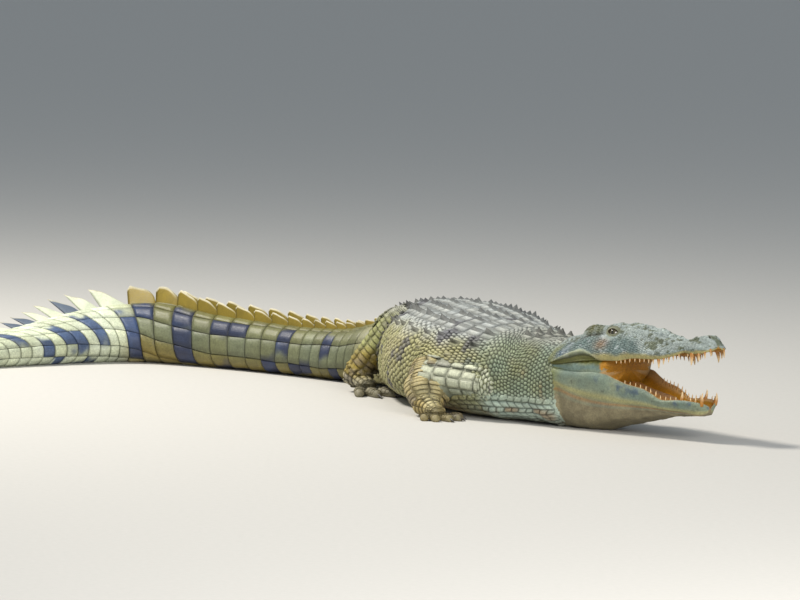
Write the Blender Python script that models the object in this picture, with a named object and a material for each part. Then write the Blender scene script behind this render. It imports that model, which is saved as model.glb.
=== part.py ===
"""A Nile crocodile basking with its mouth open, as a still, life-size model.

The animal lies on the floor plane z = 0.  Its body follows one path from the back of the skull to
the tip of the tail; every cross-section is dropped onto the floor.  The head is set on the front
of the path, and the four legs are chains of tapered segments.  All sizes are in metres.
"""

import math

import bmesh
import bpy
import numpy as np
from mathutils import Matrix, Vector

# ---------------------------------------------------------------- driving dimensions
GAP = 0.0003            # clearance between neighbouring solids
FLAT = 0.002            # how far a resting surface is pressed flat by the floor

NECK = 0.28             # back of the skull table to the shoulders
TRUNK = 0.78            # shoulders to hips
TAIL = 1.92             # hips to tail tip
SHOULDER_AT = NECK
HIP_AT = NECK + TRUNK
TIP_AT = NECK + TRUNK + TAIL

HEAD_YAW = 45.0         # degrees the head turns from +X towards -Y
CRANIUM_PITCH = 7.9     # degrees the upper jaw is raised
JAW_PITCH = -8.1        # degrees the lower jaw is lowered
HINGE_BACK = 0.042      # the jaw hinge lies this far behind the skull table
HINGE_HEIGHT = 0.168    # the jaw hinge above the floor
OCCIPUT = (0.806, -0.607)   # plan place of the back of the skull table; the model's box is centred

NECK_FRONT = 0.043      # where the neck begins, behind the skull table
TRUNK_SPLIT = 0.68      # where the front of the trunk meets the rear
PELVIS_END = 1.16       # where the trunk meets the tail
CREST_MERGE = 2.00      # where the two crest rows of the tail become one

# ---------------------------------------------------------------- body path and sections
# heading of the body, in degrees from +X towards -Y, at places behind the skull table
HEADING_AT = (0.0, 0.28, 0.45, 0.70, 0.92, 1.04, 1.14, 1.30, 1.55, 1.80, 1.96, 2.06, 2.16, 2.38, 2.58, 2.98)
HEADING = (45.0, 56.0, 70.0, 77.0, 71.0, 57.0, 45.0, 40.0, 36.0, 28.0, 18.0, -4.0, -27.0, -41.0, -46.0, -52.0)

# place, half-width, height, level of the widest point, roundness above, roundness below, narrowing
BODY = (
    (0.045, 0.130, 0.228, 0.46, 2.4, 2.6, 0.00),
    (0.150, 0.146, 0.233, 0.44, 2.4, 2.6, 0.00),
    (0.280, 0.182, 0.250, 0.40, 2.4, 2.7, 0.00),
    (0.440, 0.222, 0.264, 0.38, 2.4, 2.8, 0.00),
    (0.600, 0.242, 0.270, 0.36, 2.4, 2.8, 0.00),
    (0.780, 0.228, 0.268, 0.36, 2.4, 2.8, 0.00),
    (0.930, 0.190, 0.258, 0.38, 2.4, 2.7, 0.00),
    (1.060, 0.156, 0.236, 0.40, 2.5, 2.6, 0.02),
    (1.180, 0.136, 0.182, 0.42, 2.6, 2.6, 0.06),
    (1.320, 0.122, 0.148, 0.44, 2.8, 2.6, 0.08),
    (1.500, 0.106, 0.141, 0.45, 3.0, 2.6, 0.10),
    (1.750, 0.088, 0.149, 0.46, 3.0, 2.6, 0.14),
    (2.000, 0.070, 0.166, 0.46, 2.6, 2.5, 0.22),
    (2.180, 0.058, 0.160, 0.45, 2.2, 2.4, 0.35),
    (2.380, 0.046, 0.138, 0.45, 2.1, 2.3, 0.38),
    (2.580, 0.036, 0.108, 0.45, 2.1, 2.2, 0.38),
    (2.760, 0.025, 0.074, 0.46, 2.0, 2.1, 0.35),
    (2.900, 0.014, 0.040, 0.48, 2.0, 2.0, 0.30),
    (2.980, 0.004, 0.010, 0.50, 2.0, 2.0, 0.00),
)

# lean of the tail's crest towards the animal's left, in degrees
ROLL_AT = (0.0, 1.78, 1.94, 2.04, 2.18, 2.38, 2.58, 2.98)
ROLL = (0.0, 0.0, 10.0, 26.0, 44.0, 60.0, 72.0, 76.0)


def ease(at, places, values):
    """A smooth curve through the values: cubic pieces whose slope at each place is the harmonic
    mean of the slopes on its two sides, and zero at a peak, so that it never overshoots."""
    x = np.asarray(places, float)
    y = np.asarray(values, float)
    at = np.clip(np.asarray(at, float), x[0], x[-1])
    step = np.diff(x)
    rise = np.diff(y) / step
    same = rise[:-1] * rise[1:] > 0
    slope = np.concatenate(([rise[0]], np.zeros(len(same)), [rise[-1]]))
    pair = rise[:-1] + rise[1:]
    slope[1:-1] = np.where(same, 2 * rise[:-1] * rise[1:] / np.where(same, pair, 1.0), 0.0)
    i = np.clip(np.searchsorted(x, at, side="right") - 1, 0, len(step) - 1)
    h = step[i]
    t = (at - x[i]) / h
    return (
        y[i] * (1 + 2 * t) * (1 - t) ** 2
        + slope[i] * h * t * (1 - t) ** 2
        + y[i + 1] * t * t * (3 - 2 * t)
        + slope[i + 1] * h * t * t * (t - 1)
    )


def body_table(at, column):
    """One column of BODY, eased along the body."""
    return ease(at, [row[0] for row in BODY], [row[column] for row in BODY])


def heading(at):
    return np.radians(ease(at, HEADING_AT, HEADING))


PATH_AT = np.linspace(0.0, TIP_AT, 1600)
PATH_STEP = PATH_AT[1] - PATH_AT[0]


def path_points():
    """The plan path, walked back from the skull along the heading in small equal steps."""
    angle = heading(PATH_AT - PATH_STEP / 2)
    x = OCCIPUT[0] - np.cumsum(np.cos(angle)) * PATH_STEP + np.cos(angle[0]) * PATH_STEP
    y = OCCIPUT[1] + np.cumsum(np.sin(angle)) * PATH_STEP - np.sin(angle[0]) * PATH_STEP
    return x, y


PATH_X, PATH_Y = path_points()


def signed_power(value, power):
    return np.sign(value) * np.abs(value) ** power


def section(at, turn, grow=0.0):
    """Places on the body's section: across (to the right) and above the section's foot.  A
    superellipse whose width narrows upwards, turned over by the crest's lean, then set down so
    that its lowest point is pressed FLAT into the floor.  turn is 0 at the crest and grows to the
    right; grow moves the surface outwards."""
    half = body_table(at, 1) + grow
    tall = body_table(at, 2)
    level = body_table(at, 3) * tall
    round_top = 2.0 / body_table(at, 4)
    round_low = 2.0 / body_table(at, 5)
    up = np.cos(turn)
    side = np.sin(turn)
    high = up > 0
    rise = np.where(high, (tall - level + grow) * np.abs(up) ** round_top, 0.0)
    drop = np.where(high, 0.0, -(level + grow) * np.abs(up) ** round_low)
    wide = half * signed_power(side, np.where(high, round_top, round_low))
    z = rise + drop
    wide = wide * (1.0 - body_table(at, 6) * z / tall)
    lean = np.radians(ease(at, ROLL_AT, ROLL))
    across = wide * np.cos(lean) - z * np.sin(lean)
    above = wide * np.sin(lean) + z * np.cos(lean)
    return across, above


def body_surface(at, turn, grow=0.0):
    """Points of the body for places along it (rows) and turns round it (columns)."""
    at = np.asarray(at, float).reshape(-1, 1)
    turn = np.asarray(turn, float).reshape(1, -1)
    across, above = section(at, turn, grow)
    ring = np.linspace(0.0, 2 * np.pi, 97)[:-1].reshape(1, -1)
    foot = section(at, ring)[1].min(axis=1, keepdims=True)
    z = np.maximum(above - foot - FLAT, 0.0 if grow <= 0 else -grow)
    angle = heading(at)
    x = np.interp(at, PATH_AT, PATH_X) - across * np.sin(angle)
    y = np.interp(at, PATH_AT, PATH_Y) - across * np.cos(angle)
    return np.stack([x, y, z], axis=-1)

# ---------------------------------------------------------------- head sections
# upper jaw: place ahead of the hinge, half-width, lip, palate, top, half-width of the flat top
CRANIUM = (
    (0.000, 0.126, 0.003, 0.003, 0.062, 0.060),
    (0.042, 0.127, 0.002, 0.004, 0.070, 0.067),
    (0.076, 0.124, 0.003, 0.007, 0.074, 0.067),
    (0.092, 0.121, 0.004, 0.009, 0.088, 0.066),
    (0.112, 0.118, 0.004, 0.011, 0.094, 0.064),
    (0.150, 0.109, 0.003, 0.014, 0.088, 0.058),
    (0.180, 0.101, 0.000, 0.016, 0.087, 0.052),
    (0.216, 0.090, -0.003, 0.018, 0.081, 0.047),
    (0.260, 0.079, 0.000, 0.018, 0.071, 0.045),
    (0.305, 0.073, -0.004, 0.015, 0.056, 0.045),
    (0.349, 0.071, -0.007, 0.012, 0.040, 0.044),
    (0.388, 0.061, -0.002, 0.010, 0.031, 0.038),
    (0.416, 0.046, 0.005, 0.011, 0.032, 0.031),
    (0.445, 0.053, 0.001, 0.010, 0.042, 0.034),
    (0.472, 0.048, 0.000, 0.009, 0.040, 0.028),
    (0.490, 0.034, 0.002, 0.009, 0.032, 0.017),
    (0.498, 0.019, 0.006, 0.010, 0.025, 0.009),
    (0.501, 0.004, 0.012, 0.013, 0.017, 0.002),
)
# lower jaw: place, half-width, lip, mouth floor, half-width of the lower edge, lower edge, pouch
JAW = (
    (0.000, 0.126, -0.003, -0.003, 0.118, -0.052, -0.185),
    (0.050, 0.125, -0.002, -0.004, 0.116, -0.058, -0.178),
    (0.100, 0.118, 0.004, -0.012, 0.108, -0.066, -0.168),
    (0.140, 0.110, 0.012, -0.020, 0.099, -0.068, -0.152),
    (0.178, 0.100, 0.015, -0.025, 0.090, -0.066, -0.133),
    (0.210, 0.091, 0.008, -0.028, 0.082, -0.062, -0.120),
    (0.250, 0.079, 0.001, -0.029, 0.071, -0.057, -0.106),
    (0.290, 0.071, 0.000, -0.028, 0.063, -0.051, -0.090),
    (0.325, 0.066, -0.008, -0.027, 0.058, -0.047, -0.077),
    (0.352, 0.061, -0.016, -0.028, 0.053, -0.045, -0.066),
    (0.400, 0.054, -0.006, -0.021, 0.044, -0.040, -0.052),
    (0.436, 0.050, 0.000, -0.014, 0.037, -0.036, -0.043),
    (0.460, 0.041, 0.001, -0.012, 0.028, -0.034, -0.038),
    (0.471, 0.029, -0.001, -0.011, 0.018, -0.031, -0.034),
    (0.477, 0.014, -0.006, -0.012, 0.008, -0.026, -0.028),
    (0.479, 0.003, -0.012, -0.014, 0.002, -0.018, -0.020),
)
MOUTH_CORNER = 0.176    # where the stretched skin of the cheek ends, ahead of the hinge
GUM = 0.018             # thickness of the jaw along its tooth row
EYE = (0.180, 0.049, 0.069)
EYE_RADIUS = 0.0165


def column(table, at, index):
    return ease(at, [row[0] for row in table], [row[index] for row in table])


def cranium_cage(at):
    """Half-section of the upper jaw, from the palate's middle round the lip to the crown."""
    w, lip, palate, top, flat = (column(CRANIUM, at, i) for i in range(1, 6))
    flare = w - flat
    return [
        (0 * w, palate),
        (0.55 * w, palate + 0.003 * w / 0.1),
        (w - GUM * w / (w + 0.02), 0.6 * palate + 0.4 * lip),
        (w - 0.25 * GUM * w / (w + 0.02), lip),
        (w, lip + 0.20 * (top - lip)),
        (flat + 0.66 * flare, lip + 0.52 * (top - lip)),
        (flat + 0.14 * flare, lip + 0.82 * (top - lip)),
        (0.80 * flat, top),
        (0 * w, top - 0.03 * flat),
    ]


def jaw_cage(at):
    """Half-section of the lower jaw, from the mouth floor over the lip to the throat pouch."""
    w, lip, floor, low_w, edge, pouch = (column(JAW, at, i) for i in range(1, 7))
    gum = GUM * w / (w + 0.02)
    return [
        (0 * w, floor),
        (0.75 * (w - gum), floor),
        (w - gum, 0.4 * floor + 0.6 * lip),
        (w - 0.45 * gum, lip),
        (w, lip + 0.18 * (edge - lip)),
        (0.5 * (w + low_w) + 0.02 * w, 0.45 * lip + 0.55 * edge),
        (low_w, edge),
        (0.72 * low_w, 0.35 * edge + 0.65 * pouch),
        (0 * w, pouch),
    ]


def head_surface(cage, at, turn):
    """Points (ahead, left, up) of a jaw in its own frame: a closed Catmull-Rom curve through the
    cage and its mirror image.  turn runs from 0 to 2 pi round the section."""
    at = np.asarray(at, float)
    half = np.array([[np.broadcast_to(v, at.shape) for v in pair] for pair in cage(at)])
    back = half[-2:0:-1] * np.array([-1.0, 1.0]).reshape(1, 2, 1)
    ring = np.concatenate([half, back])
    count = len(ring)
    u = np.asarray(turn, float) / (2 * np.pi) * count
    i = np.floor(u).astype(int)
    t = (u - i).reshape(-1, 1, 1)
    a, b, c, d = (ring[(i + k) % count] for k in (-1, 0, 1, 2))
    curve = 0.5 * (
        2 * b + (c - a) * t + (2 * a - 5 * b + 4 * c - d) * t * t + (3 * b - a - 3 * c + d) * t ** 3
    )
    ahead = np.broadcast_to(at.reshape(-1, 1), (len(at), len(u)))
    return np.stack([ahead, curve[:, 0].T, curve[:, 1].T], axis=-1)


def hinge_place():
    """The middle of the jaw hinge: HINGE_BACK behind the skull table, on the head's own axis."""
    yaw = math.radians(HEAD_YAW)
    x = OCCIPUT[0] - HINGE_BACK * math.cos(yaw)
    y = OCCIPUT[1] + HINGE_BACK * math.sin(yaw)
    return np.array([x, y, HINGE_HEIGHT])


def head_to_world(points, pitch):
    """Turns points of a jaw's frame by its pitch and the head's yaw, about the hinge."""
    tip = math.radians(pitch)
    yaw = math.radians(HEAD_YAW)
    ahead = points[..., 0] * math.cos(tip) - points[..., 2] * math.sin(tip)
    up = points[..., 0] * math.sin(tip) + points[..., 2] * math.cos(tip)
    left = points[..., 1]
    hinge = hinge_place()
    x = hinge[0] + ahead * math.cos(yaw) + left * math.sin(yaw)
    y = hinge[1] - ahead * math.sin(yaw) + left * math.cos(yaw)
    return np.stack([x, y, np.maximum(hinge[2] + up, 0.0)], axis=-1)


# ---------------------------------------------------------------- limbs
# joints in the body's frame at the limb's root: ahead, outwards, height above the floor
FORELEG_RIGHT = ((0.030, 0.146, 0.098), (-0.138, 0.216, 0.108), (-0.084, 0.246, 0.032), (-0.006, 0.262, 0.016))
FORELEG_LEFT = ((0.030, 0.146, 0.098), (-0.085, 0.272, 0.108), (-0.005, 0.296, 0.032), (0.070, 0.300, 0.016))
HINDLEG_RIGHT = ((-0.020, 0.080, 0.130), (0.120, 0.170, 0.198), (0.030, 0.250, 0.050), (0.120, 0.262, 0.018))
HINDLEG_LEFT = ((-0.020, 0.080, 0.125), (0.120, 0.175, 0.172), (0.030, 0.255, 0.050), (0.120, 0.267, 0.018))
FORELEG_RADII = ((0.052, 0.050, 0.052), (0.054, 0.064, 0.044), (0.039, 0.034, 0.024))
HINDLEG_RADII = ((0.078, 0.072, 0.054), (0.054, 0.053, 0.043), (0.040, 0.034, 0.026))


def limb_place(at, side, joint):
    """World place of a joint given ahead of, outwards from and above a place on the body path."""
    angle = float(heading(at))
    ahead, out, up = joint
    x = float(np.interp(at, PATH_AT, PATH_X)) + ahead * math.cos(angle) - side * out * math.sin(angle)
    y = float(np.interp(at, PATH_AT, PATH_Y)) - ahead * math.sin(angle) - side * out * math.cos(angle)
    return np.array([x, y, up])


# ---------------------------------------------------------------- scene and materials
def clear_scene():
    for old in list(bpy.data.objects):
        bpy.data.objects.remove(old, do_unlink=True)


def new_collection(name):
    group = bpy.data.collections.new(name)
    bpy.context.scene.collection.children.link(group)
    return group


def principled(name, color, roughness):
    material = bpy.data.materials.new(name)
    material.use_nodes = True
    shader = material.node_tree.nodes["Principled BSDF"]
    shader.inputs["Base Color"].default_value = (*color, 1.0)
    shader.inputs["Roughness"].default_value = roughness
    shader.inputs["Metallic"].default_value = 0.0
    return material


HIDE_COLOR = (0.42, 0.43, 0.26)
MOUTH_COLOR = (0.62, 0.33, 0.07)
EYE_COLOR = (0.10, 0.09, 0.04)


# ---------------------------------------------------------------- mesh helpers
def put(name, mesh, color, roughness=0.55):
    """Wraps a mesh as a named part in its own material."""
    obj = bpy.data.objects.new(name, mesh)
    mesh.materials.clear()
    mesh.materials.append(principled(name, color, roughness))
    PARTS.objects.link(obj)
    return obj


def cutter(name, mesh):
    obj = bpy.data.objects.new(name, mesh)
    obj.hide_render = True
    obj.display_type = "WIRE"
    CUTTERS.objects.link(obj)
    return obj


def mesh_from(bm, name):
    """Finishes a bmesh: welds its doubles, turns its faces outwards and makes it all triangles."""
    bmesh.ops.remove_doubles(bm, verts=bm.verts, dist=1e-6)
    bmesh.ops.dissolve_degenerate(bm, edges=bm.edges, dist=1e-6)
    bmesh.ops.recalc_face_normals(bm, faces=bm.faces)
    bmesh.ops.triangulate(bm, faces=bm.faces)
    mesh = bpy.data.meshes.new(name)
    bm.to_mesh(mesh)
    bm.free()
    return mesh


def loft(name, rings):
    """A closed skin over rings of points (rows, columns, xyz), with a fan at each end."""
    columns = rings.shape[1]
    bm = bmesh.new()
    grid = [[bm.verts.new(point) for point in ring] for ring in rings.tolist()]
    for a, b in zip(grid[:-1], grid[1:]):
        for i in range(columns):
            j = (i + 1) % columns
            bm.faces.new((a[i], a[j], b[j], b[i]))
    for ring, points in ((grid[0], rings[0]), (grid[-1], rings[-1])):
        middle = bm.verts.new(points.mean(axis=0).tolist())
        for i in range(columns):
            bm.faces.new((ring[i], ring[(i + 1) % columns], middle))
    return mesh_from(bm, name)


def hull(name, points):
    """The convex solid round a few points."""
    bm = bmesh.new()
    for point in points:
        bm.verts.new(point)
    found = bmesh.ops.convex_hull(bm, input=bm.verts)
    loose = [v for v in found["geom_interior"] if isinstance(v, bmesh.types.BMVert)]
    bmesh.ops.delete(bm, geom=loose, context="VERTS")
    return mesh_from(bm, name)


def joined(name, meshes):
    """Several meshes as one, still loose from each other."""
    bm = bmesh.new()
    for mesh in meshes:
        bm.from_mesh(mesh)
        bpy.data.meshes.remove(mesh)
    out = bpy.data.meshes.new(name)
    bm.to_mesh(out)
    bm.free()
    return out


def grown(obj, distance=GAP):
    """A cutter as large as a part plus the clearance."""
    mesh = evaluated(obj)
    bm = bmesh.new()
    bm.from_mesh(mesh)
    bm.normal_update()
    for vert in bm.verts:
        vert.co += vert.normal * distance * min(vert.calc_shell_factor(), 3.0)
    bm.to_mesh(mesh)
    bm.free()
    return cutter(obj.name + "_clearance", mesh)


def evaluated(obj):
    bpy.context.view_layer.update()
    graph = bpy.context.evaluated_depsgraph_get()
    return bpy.data.meshes.new_from_object(obj.evaluated_get(graph))


def boolean(obj, tool, operation):
    """Applies one Boolean to a part and keeps its material."""
    modifier = obj.modifiers.new(operation.lower(), "BOOLEAN")
    modifier.solver = "MANIFOLD"
    modifier.object = tool
    modifier.operation = operation
    result = evaluated(obj)
    obj.modifiers.clear()
    material = obj.data.materials[0]
    result.materials.clear()
    result.materials.append(material)
    obj.data = result


def slice_off(mesh, point, normal):
    """Cuts away what lies in front of a plane and closes the cut."""
    bm = bmesh.new()
    bm.from_mesh(mesh)
    geometry = bm.verts[:] + bm.edges[:] + bm.faces[:]
    bmesh.ops.bisect_plane(bm, geom=geometry, plane_co=point, plane_no=normal, clear_outer=True)
    rim = [edge for edge in bm.edges if edge.is_boundary]
    bmesh.ops.holes_fill(bm, edges=rim)
    name = mesh.name
    bpy.data.meshes.remove(mesh)
    return mesh_from(bm, name)


def turns(count, shift=0.0):
    """Equal turns round a section, the first at the crest or a share of a step beyond it."""
    return (np.arange(count) + shift) * 2 * np.pi / count


# ---------------------------------------------------------------- neck, trunk and tail
CREST_THICKNESS = 0.012
CREST_TIP = 0.003
CREST_HOOK = 0.010      # how far the top of a flap hangs over the next one


WHORL_AT = (1.10, 1.24, 1.42, 1.54, 1.70, 1.87, 2.00, 2.10, 2.18, 2.42, 2.98)
WHORL_LENGTH = (0.036, 0.036, 0.044, 0.060, 0.067, 0.072, 0.068, 0.056, 0.043, 0.040, 0.030)
CREST_AT = (1.06, 1.20, 1.42, 1.60, 1.90, 2.02, 2.10, 2.17, 2.25, 2.34, 2.42, 2.60, 2.98)
CREST_TALL = (0.010, 0.018, 0.026, 0.034, 0.044, 0.058, 0.070, 0.078, 0.074, 0.062, 0.050, 0.042, 0.010)


def whorl_places():
    """Where each ring of tail scales begins: short rings at the hips, the longest where the two
    crest rows draw together, short ones again towards the tip."""
    places = [PELVIS_END - 0.06]
    while places[-1] < TIP_AT - 0.05:
        places.append(places[-1] + float(ease(places[-1], WHORL_AT, WHORL_LENGTH)))
    return np.array(places)


def crest_height(at):
    """Height of a crest flap above the section."""
    return ease(at, CREST_AT, CREST_TALL)


def crest_turn(at):
    """Turn at which the near crest row stands; it runs into the middle where the rows merge."""
    return ease(at, (PELVIS_END - 0.1, 1.6, 1.9, CREST_MERGE), (0.30, 0.28, 0.16, 0.0))


def up_of(at):
    """Upward direction of the section, leaning with the crest."""
    lean = np.radians(ease(at, ROLL_AT, ROLL))
    angle = heading(at)
    return np.stack([np.sin(angle) * np.sin(lean), np.cos(angle) * np.sin(lean), np.cos(lean)], axis=-1)


def crest_flap(at, after, side, hook):
    """One flap: a thin wedge with a long curved front edge and a steep rear edge that may overhang."""
    turn = side * crest_turn(np.array([at, 0.5 * (at + after), after]))
    front, middle, rear = (
        body_surface([place], [angle])[0, 0] for place, angle in zip((at, 0.5 * (at + after), after), turn)
    )
    up = up_of(after)
    along = (rear - front) / np.linalg.norm(rear - front)
    out = np.cross(along, up)
    tall = float(crest_height(after))
    sunk = -0.012 * up
    points = []
    for sign in (-1.0, 1.0):
        base = sign * 0.5 * min(CREST_THICKNESS, 0.4 * tall + 0.004) * out
        edge = sign * 0.5 * CREST_TIP * out
        points += [front + 0.06 * (rear - front) + base + sunk, rear - 0.04 * (rear - front) + base + sunk]
        points += [middle + 0.66 * tall * up + 1.6 * edge, rear + 0.93 * tall * up + hook * along + edge]
    return hull("flap", [point.tolist() for point in points])


def body_length(name, start, end, rows, columns, flaps=()):
    """One length of the body between two places, with its crest flaps joined on."""
    rings = body_surface(np.linspace(start, end - GAP, rows), turns(columns, 0.5))
    obj = put(name, loft(name, rings), HIDE_COLOR)
    if flaps:
        tool = cutter(name + "_crest", joined(name + "_crest", [crest_flap(*flap) for flap in flaps]))
        boolean(obj, tool, "UNION")
    return obj


def build_body():
    neck = body_length("neck", NECK_FRONT, SHOULDER_AT - 0.06, 4, 22)
    front = body_length("trunk_front", SHOULDER_AT - 0.06, TRUNK_SPLIT, 7, 22)
    rear = body_length("trunk_rear", TRUNK_SPLIT, PELVIS_END, 7, 22)
    return neck, front, rear


def tail_cuts(whorls):
    """The tail is parted between whorls, into lengths that shorten towards the tip."""
    wanted = np.linspace(PELVIS_END, TIP_AT, 7)[1:-1]
    inner = [float(whorls[np.argmin(np.abs(whorls - place))]) for place in wanted]
    return [PELVIS_END, *inner, TIP_AT]


def build_tail():
    whorls = whorl_places()
    cuts = tail_cuts(whorls)
    for number, (start, end) in enumerate(zip(cuts[:-1], cuts[1:]), 1):
        flaps = []
        for at, after in zip(whorls[:-1], whorls[1:]):
            if start - 1e-6 <= at and after <= end + 1e-6:
                sides = (0.0,) if at > CREST_MERGE - 0.03 else (-1.0, 1.0)
                hook = CREST_HOOK if after < end - 1e-6 else 0.0
                flaps += [(at, after - 0.0015, side, hook) for side in sides]
        body_length(f"tail_{number}", start, end, 6, 16, flaps)


# ---------------------------------------------------------------- head
def jaw_rings(table, cage, pitch, columns):
    places = np.array([row[0] for row in table])
    return head_to_world(head_surface(cage, places, turns(columns, 0.5)), pitch)


def tooth(name, root, tip, radius):
    """A slightly curved cone from its gum to its point."""
    root = Vector(root)
    tip = Vector(tip)
    length = (tip - root).length
    bm = bmesh.new()
    bmesh.ops.create_cone(bm, cap_ends=True, segments=4, radius1=radius * 1.15, radius2=0.0, depth=length)
    turn = Vector((0, 0, 1)).rotation_difference(tip - root).to_matrix().to_4x4()
    bmesh.ops.transform(bm, verts=bm.verts, matrix=Matrix.Translation((root + tip) / 2) @ turn)
    return mesh_from(bm, name)


# place along the jaw and length of each tooth of one side
UPPER_TEETH = (
    (0.493, 0.014), (0.483, 0.017), (0.468, 0.020), (0.449, 0.030), (0.433, 0.012),
    (0.402, 0.010), (0.389, 0.012), (0.376, 0.014), (0.362, 0.018), (0.345, 0.024),
    (0.327, 0.014), (0.312, 0.011), (0.297, 0.010), (0.282, 0.010), (0.267, 0.010),
    (0.252, 0.010), (0.238, 0.010), (0.225, 0.009), (0.212, 0.008),
)
LOWER_TEETH = (
    (0.468, 0.028), (0.455, 0.013), (0.442, 0.011), (0.414, 0.026), (0.396, 0.010),
    (0.380, 0.010), (0.364, 0.011), (0.348, 0.012), (0.332, 0.013), (0.316, 0.012),
    (0.299, 0.011), (0.283, 0.010), (0.267, 0.010), (0.251, 0.009), (0.236, 0.008),
)
TOOTH_SLENDER = 0.21    # root radius over the length that shows
TOOTH_ROOTED = 0.008    # how deep a tooth stands in its gum


def tooth_row(cage, pitch, teeth, up, splay):
    """Teeth of both sides, standing on the tooth row and leaning a little outwards."""
    made = []
    for at, length in teeth:
        pair = cage(np.array([at]))
        across = float(np.asarray(pair[3][0]).ravel()[0])
        lip = float(np.asarray(pair[3][1]).ravel()[0])
        near_tip = max(0.0, (at - 0.47) / 0.04)
        for side in (-1.0, 1.0):
            base = np.array([at, side * (across - 0.003), lip - up * TOOTH_ROOTED])
            lean = np.array([splay * near_tip, side * splay * (1 - 0.6 * near_tip), up])
            lean = lean / np.linalg.norm(lean)
            point = base + lean * (length + TOOTH_ROOTED)
            ends = head_to_world(np.stack([base, point]), pitch)
            radius = max(0.0022, TOOTH_SLENDER * length ** 0.8 * 0.02 ** 0.2)
            made.append(tooth("tooth", ends[0].tolist(), ends[1].tolist(), radius))
    return joined("tooth_row", made)


def build_head():
    upper = put("cranium", loft("cranium", jaw_rings(CRANIUM, cranium_cage, CRANIUM_PITCH, 20)), HIDE_COLOR)
    lower = put("lower_jaw", loft("lower_jaw", jaw_rings(JAW, jaw_cage, JAW_PITCH, 18)), HIDE_COLOR)
    for side, name in ((1.0, "left"), (-1.0, "right")):
        place = np.array([EYE[0], side * EYE[1], EYE[2]])
        centre = head_to_world(place, CRANIUM_PITCH)
        bm = bmesh.new()
        bmesh.ops.create_uvsphere(bm, u_segments=10, v_segments=7, radius=EYE_RADIUS)
        bmesh.ops.translate(bm, verts=bm.verts, vec=centre.tolist())
        eye = put("eye_" + name, mesh_from(bm, "eye_" + name), EYE_COLOR, 0.08)
        boolean(upper, grown(eye), "DIFFERENCE")
    teeth = tooth_row(cranium_cage, CRANIUM_PITCH, UPPER_TEETH, -1.0, 0.12)
    boolean(upper, cutter("upper_teeth", teeth), "UNION")
    teeth = tooth_row(jaw_cage, JAW_PITCH, LOWER_TEETH, 1.0, 0.10)
    boolean(lower, cutter("lower_teeth", teeth), "UNION")
    return upper, lower


def cheek_block():
    """The flesh between the jaws behind the corners of the mouth, before the jaws are cut away."""
    at = np.array([0.004, 0.05, 0.10, 0.14, MOUTH_CORNER - 0.012, MOUTH_CORNER])
    turn = turns(12)
    half = column(CRANIUM, at, 1) - 0.006
    half[-1] -= 0.004
    spread = np.tan(np.radians(0.5 * (CRANIUM_PITCH - JAW_PITCH)))
    tall = at * spread + 0.020
    square = 2.0 / 5.0
    across = half[:, None] * signed_power(np.sin(turn), square)
    up = tall[:, None] * signed_power(np.cos(turn), square)
    ahead = np.broadcast_to(at[:, None], across.shape)
    return np.stack([ahead, across, up], axis=-1)


def build_mouth(upper, lower, neck):
    """Cheeks between the jaws, and the tongue on the mouth floor; the neck is hollowed for the head."""
    middle = 0.5 * (CRANIUM_PITCH + JAW_PITCH)
    cheeks = put("cheeks", loft("cheeks", head_to_world(cheek_block(), middle)), MOUTH_COLOR)
    bm = bmesh.new()
    bmesh.ops.create_uvsphere(bm, u_segments=12, v_segments=6, radius=1.0)
    bmesh.ops.scale(bm, verts=bm.verts, vec=(0.095, 0.083, 0.060))
    hollow = head_to_world(np.array([[v.co.x + 0.195, v.co.y, v.co.z] for v in bm.verts]), middle)
    for vert, place in zip(bm.verts, hollow.tolist()):
        vert.co = place
    throat = cutter("throat", mesh_from(bm, "throat"))
    tongue_at = np.array([0.118, 0.150, 0.220, 0.300, 0.355, 0.375])
    half = (column(JAW, tongue_at, 1) - GUM - 0.006) * np.array([0.50, 0.78, 0.84, 0.82, 0.60, 0.20])
    tall = np.array([0.006, 0.012, 0.015, 0.013, 0.009, 0.003])
    turn = turns(10)
    rings = np.stack(
        [
            np.broadcast_to(tongue_at[:, None], (len(tongue_at), 10)),
            half[:, None] * np.sin(turn),
            column(JAW, tongue_at, 3)[:, None] + 0.002 + tall[:, None] * np.cos(turn),
        ],
        axis=-1,
    )
    tongue = put("tongue", loft("tongue", head_to_world(rings, JAW_PITCH)), MOUTH_COLOR)
    boolean(cheeks, throat, "DIFFERENCE")
    jaws = (grown(upper), grown(lower))
    for tool in (*jaws, grown(tongue)):
        boolean(cheeks, tool, "DIFFERENCE")
    boolean(tongue, jaws[1], "DIFFERENCE")
    for tool in jaws:
        boolean(neck, tool, "DIFFERENCE")
    return cheeks, tongue


# ---------------------------------------------------------------- legs
LIMB_ROWS = (-0.92, -0.5, 0.0, 0.45, 1.0, 1.5, 1.92)
PRESS = 0.0012          # how far the toes are pressed flat by the floor
# share of a digit's length, share of its root radius, rise over its radius: the last three are the claw
DIGIT = (
    (-0.30, 0.70, 0.5), (0.0, 1.0, 0.2), (0.55, 0.88, 0.0), (0.95, 0.70, 0.0),
    (1.02, 0.40, 0.35), (1.17, 0.27, 0.30), (1.32, 0.09, 0.12),
)


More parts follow.
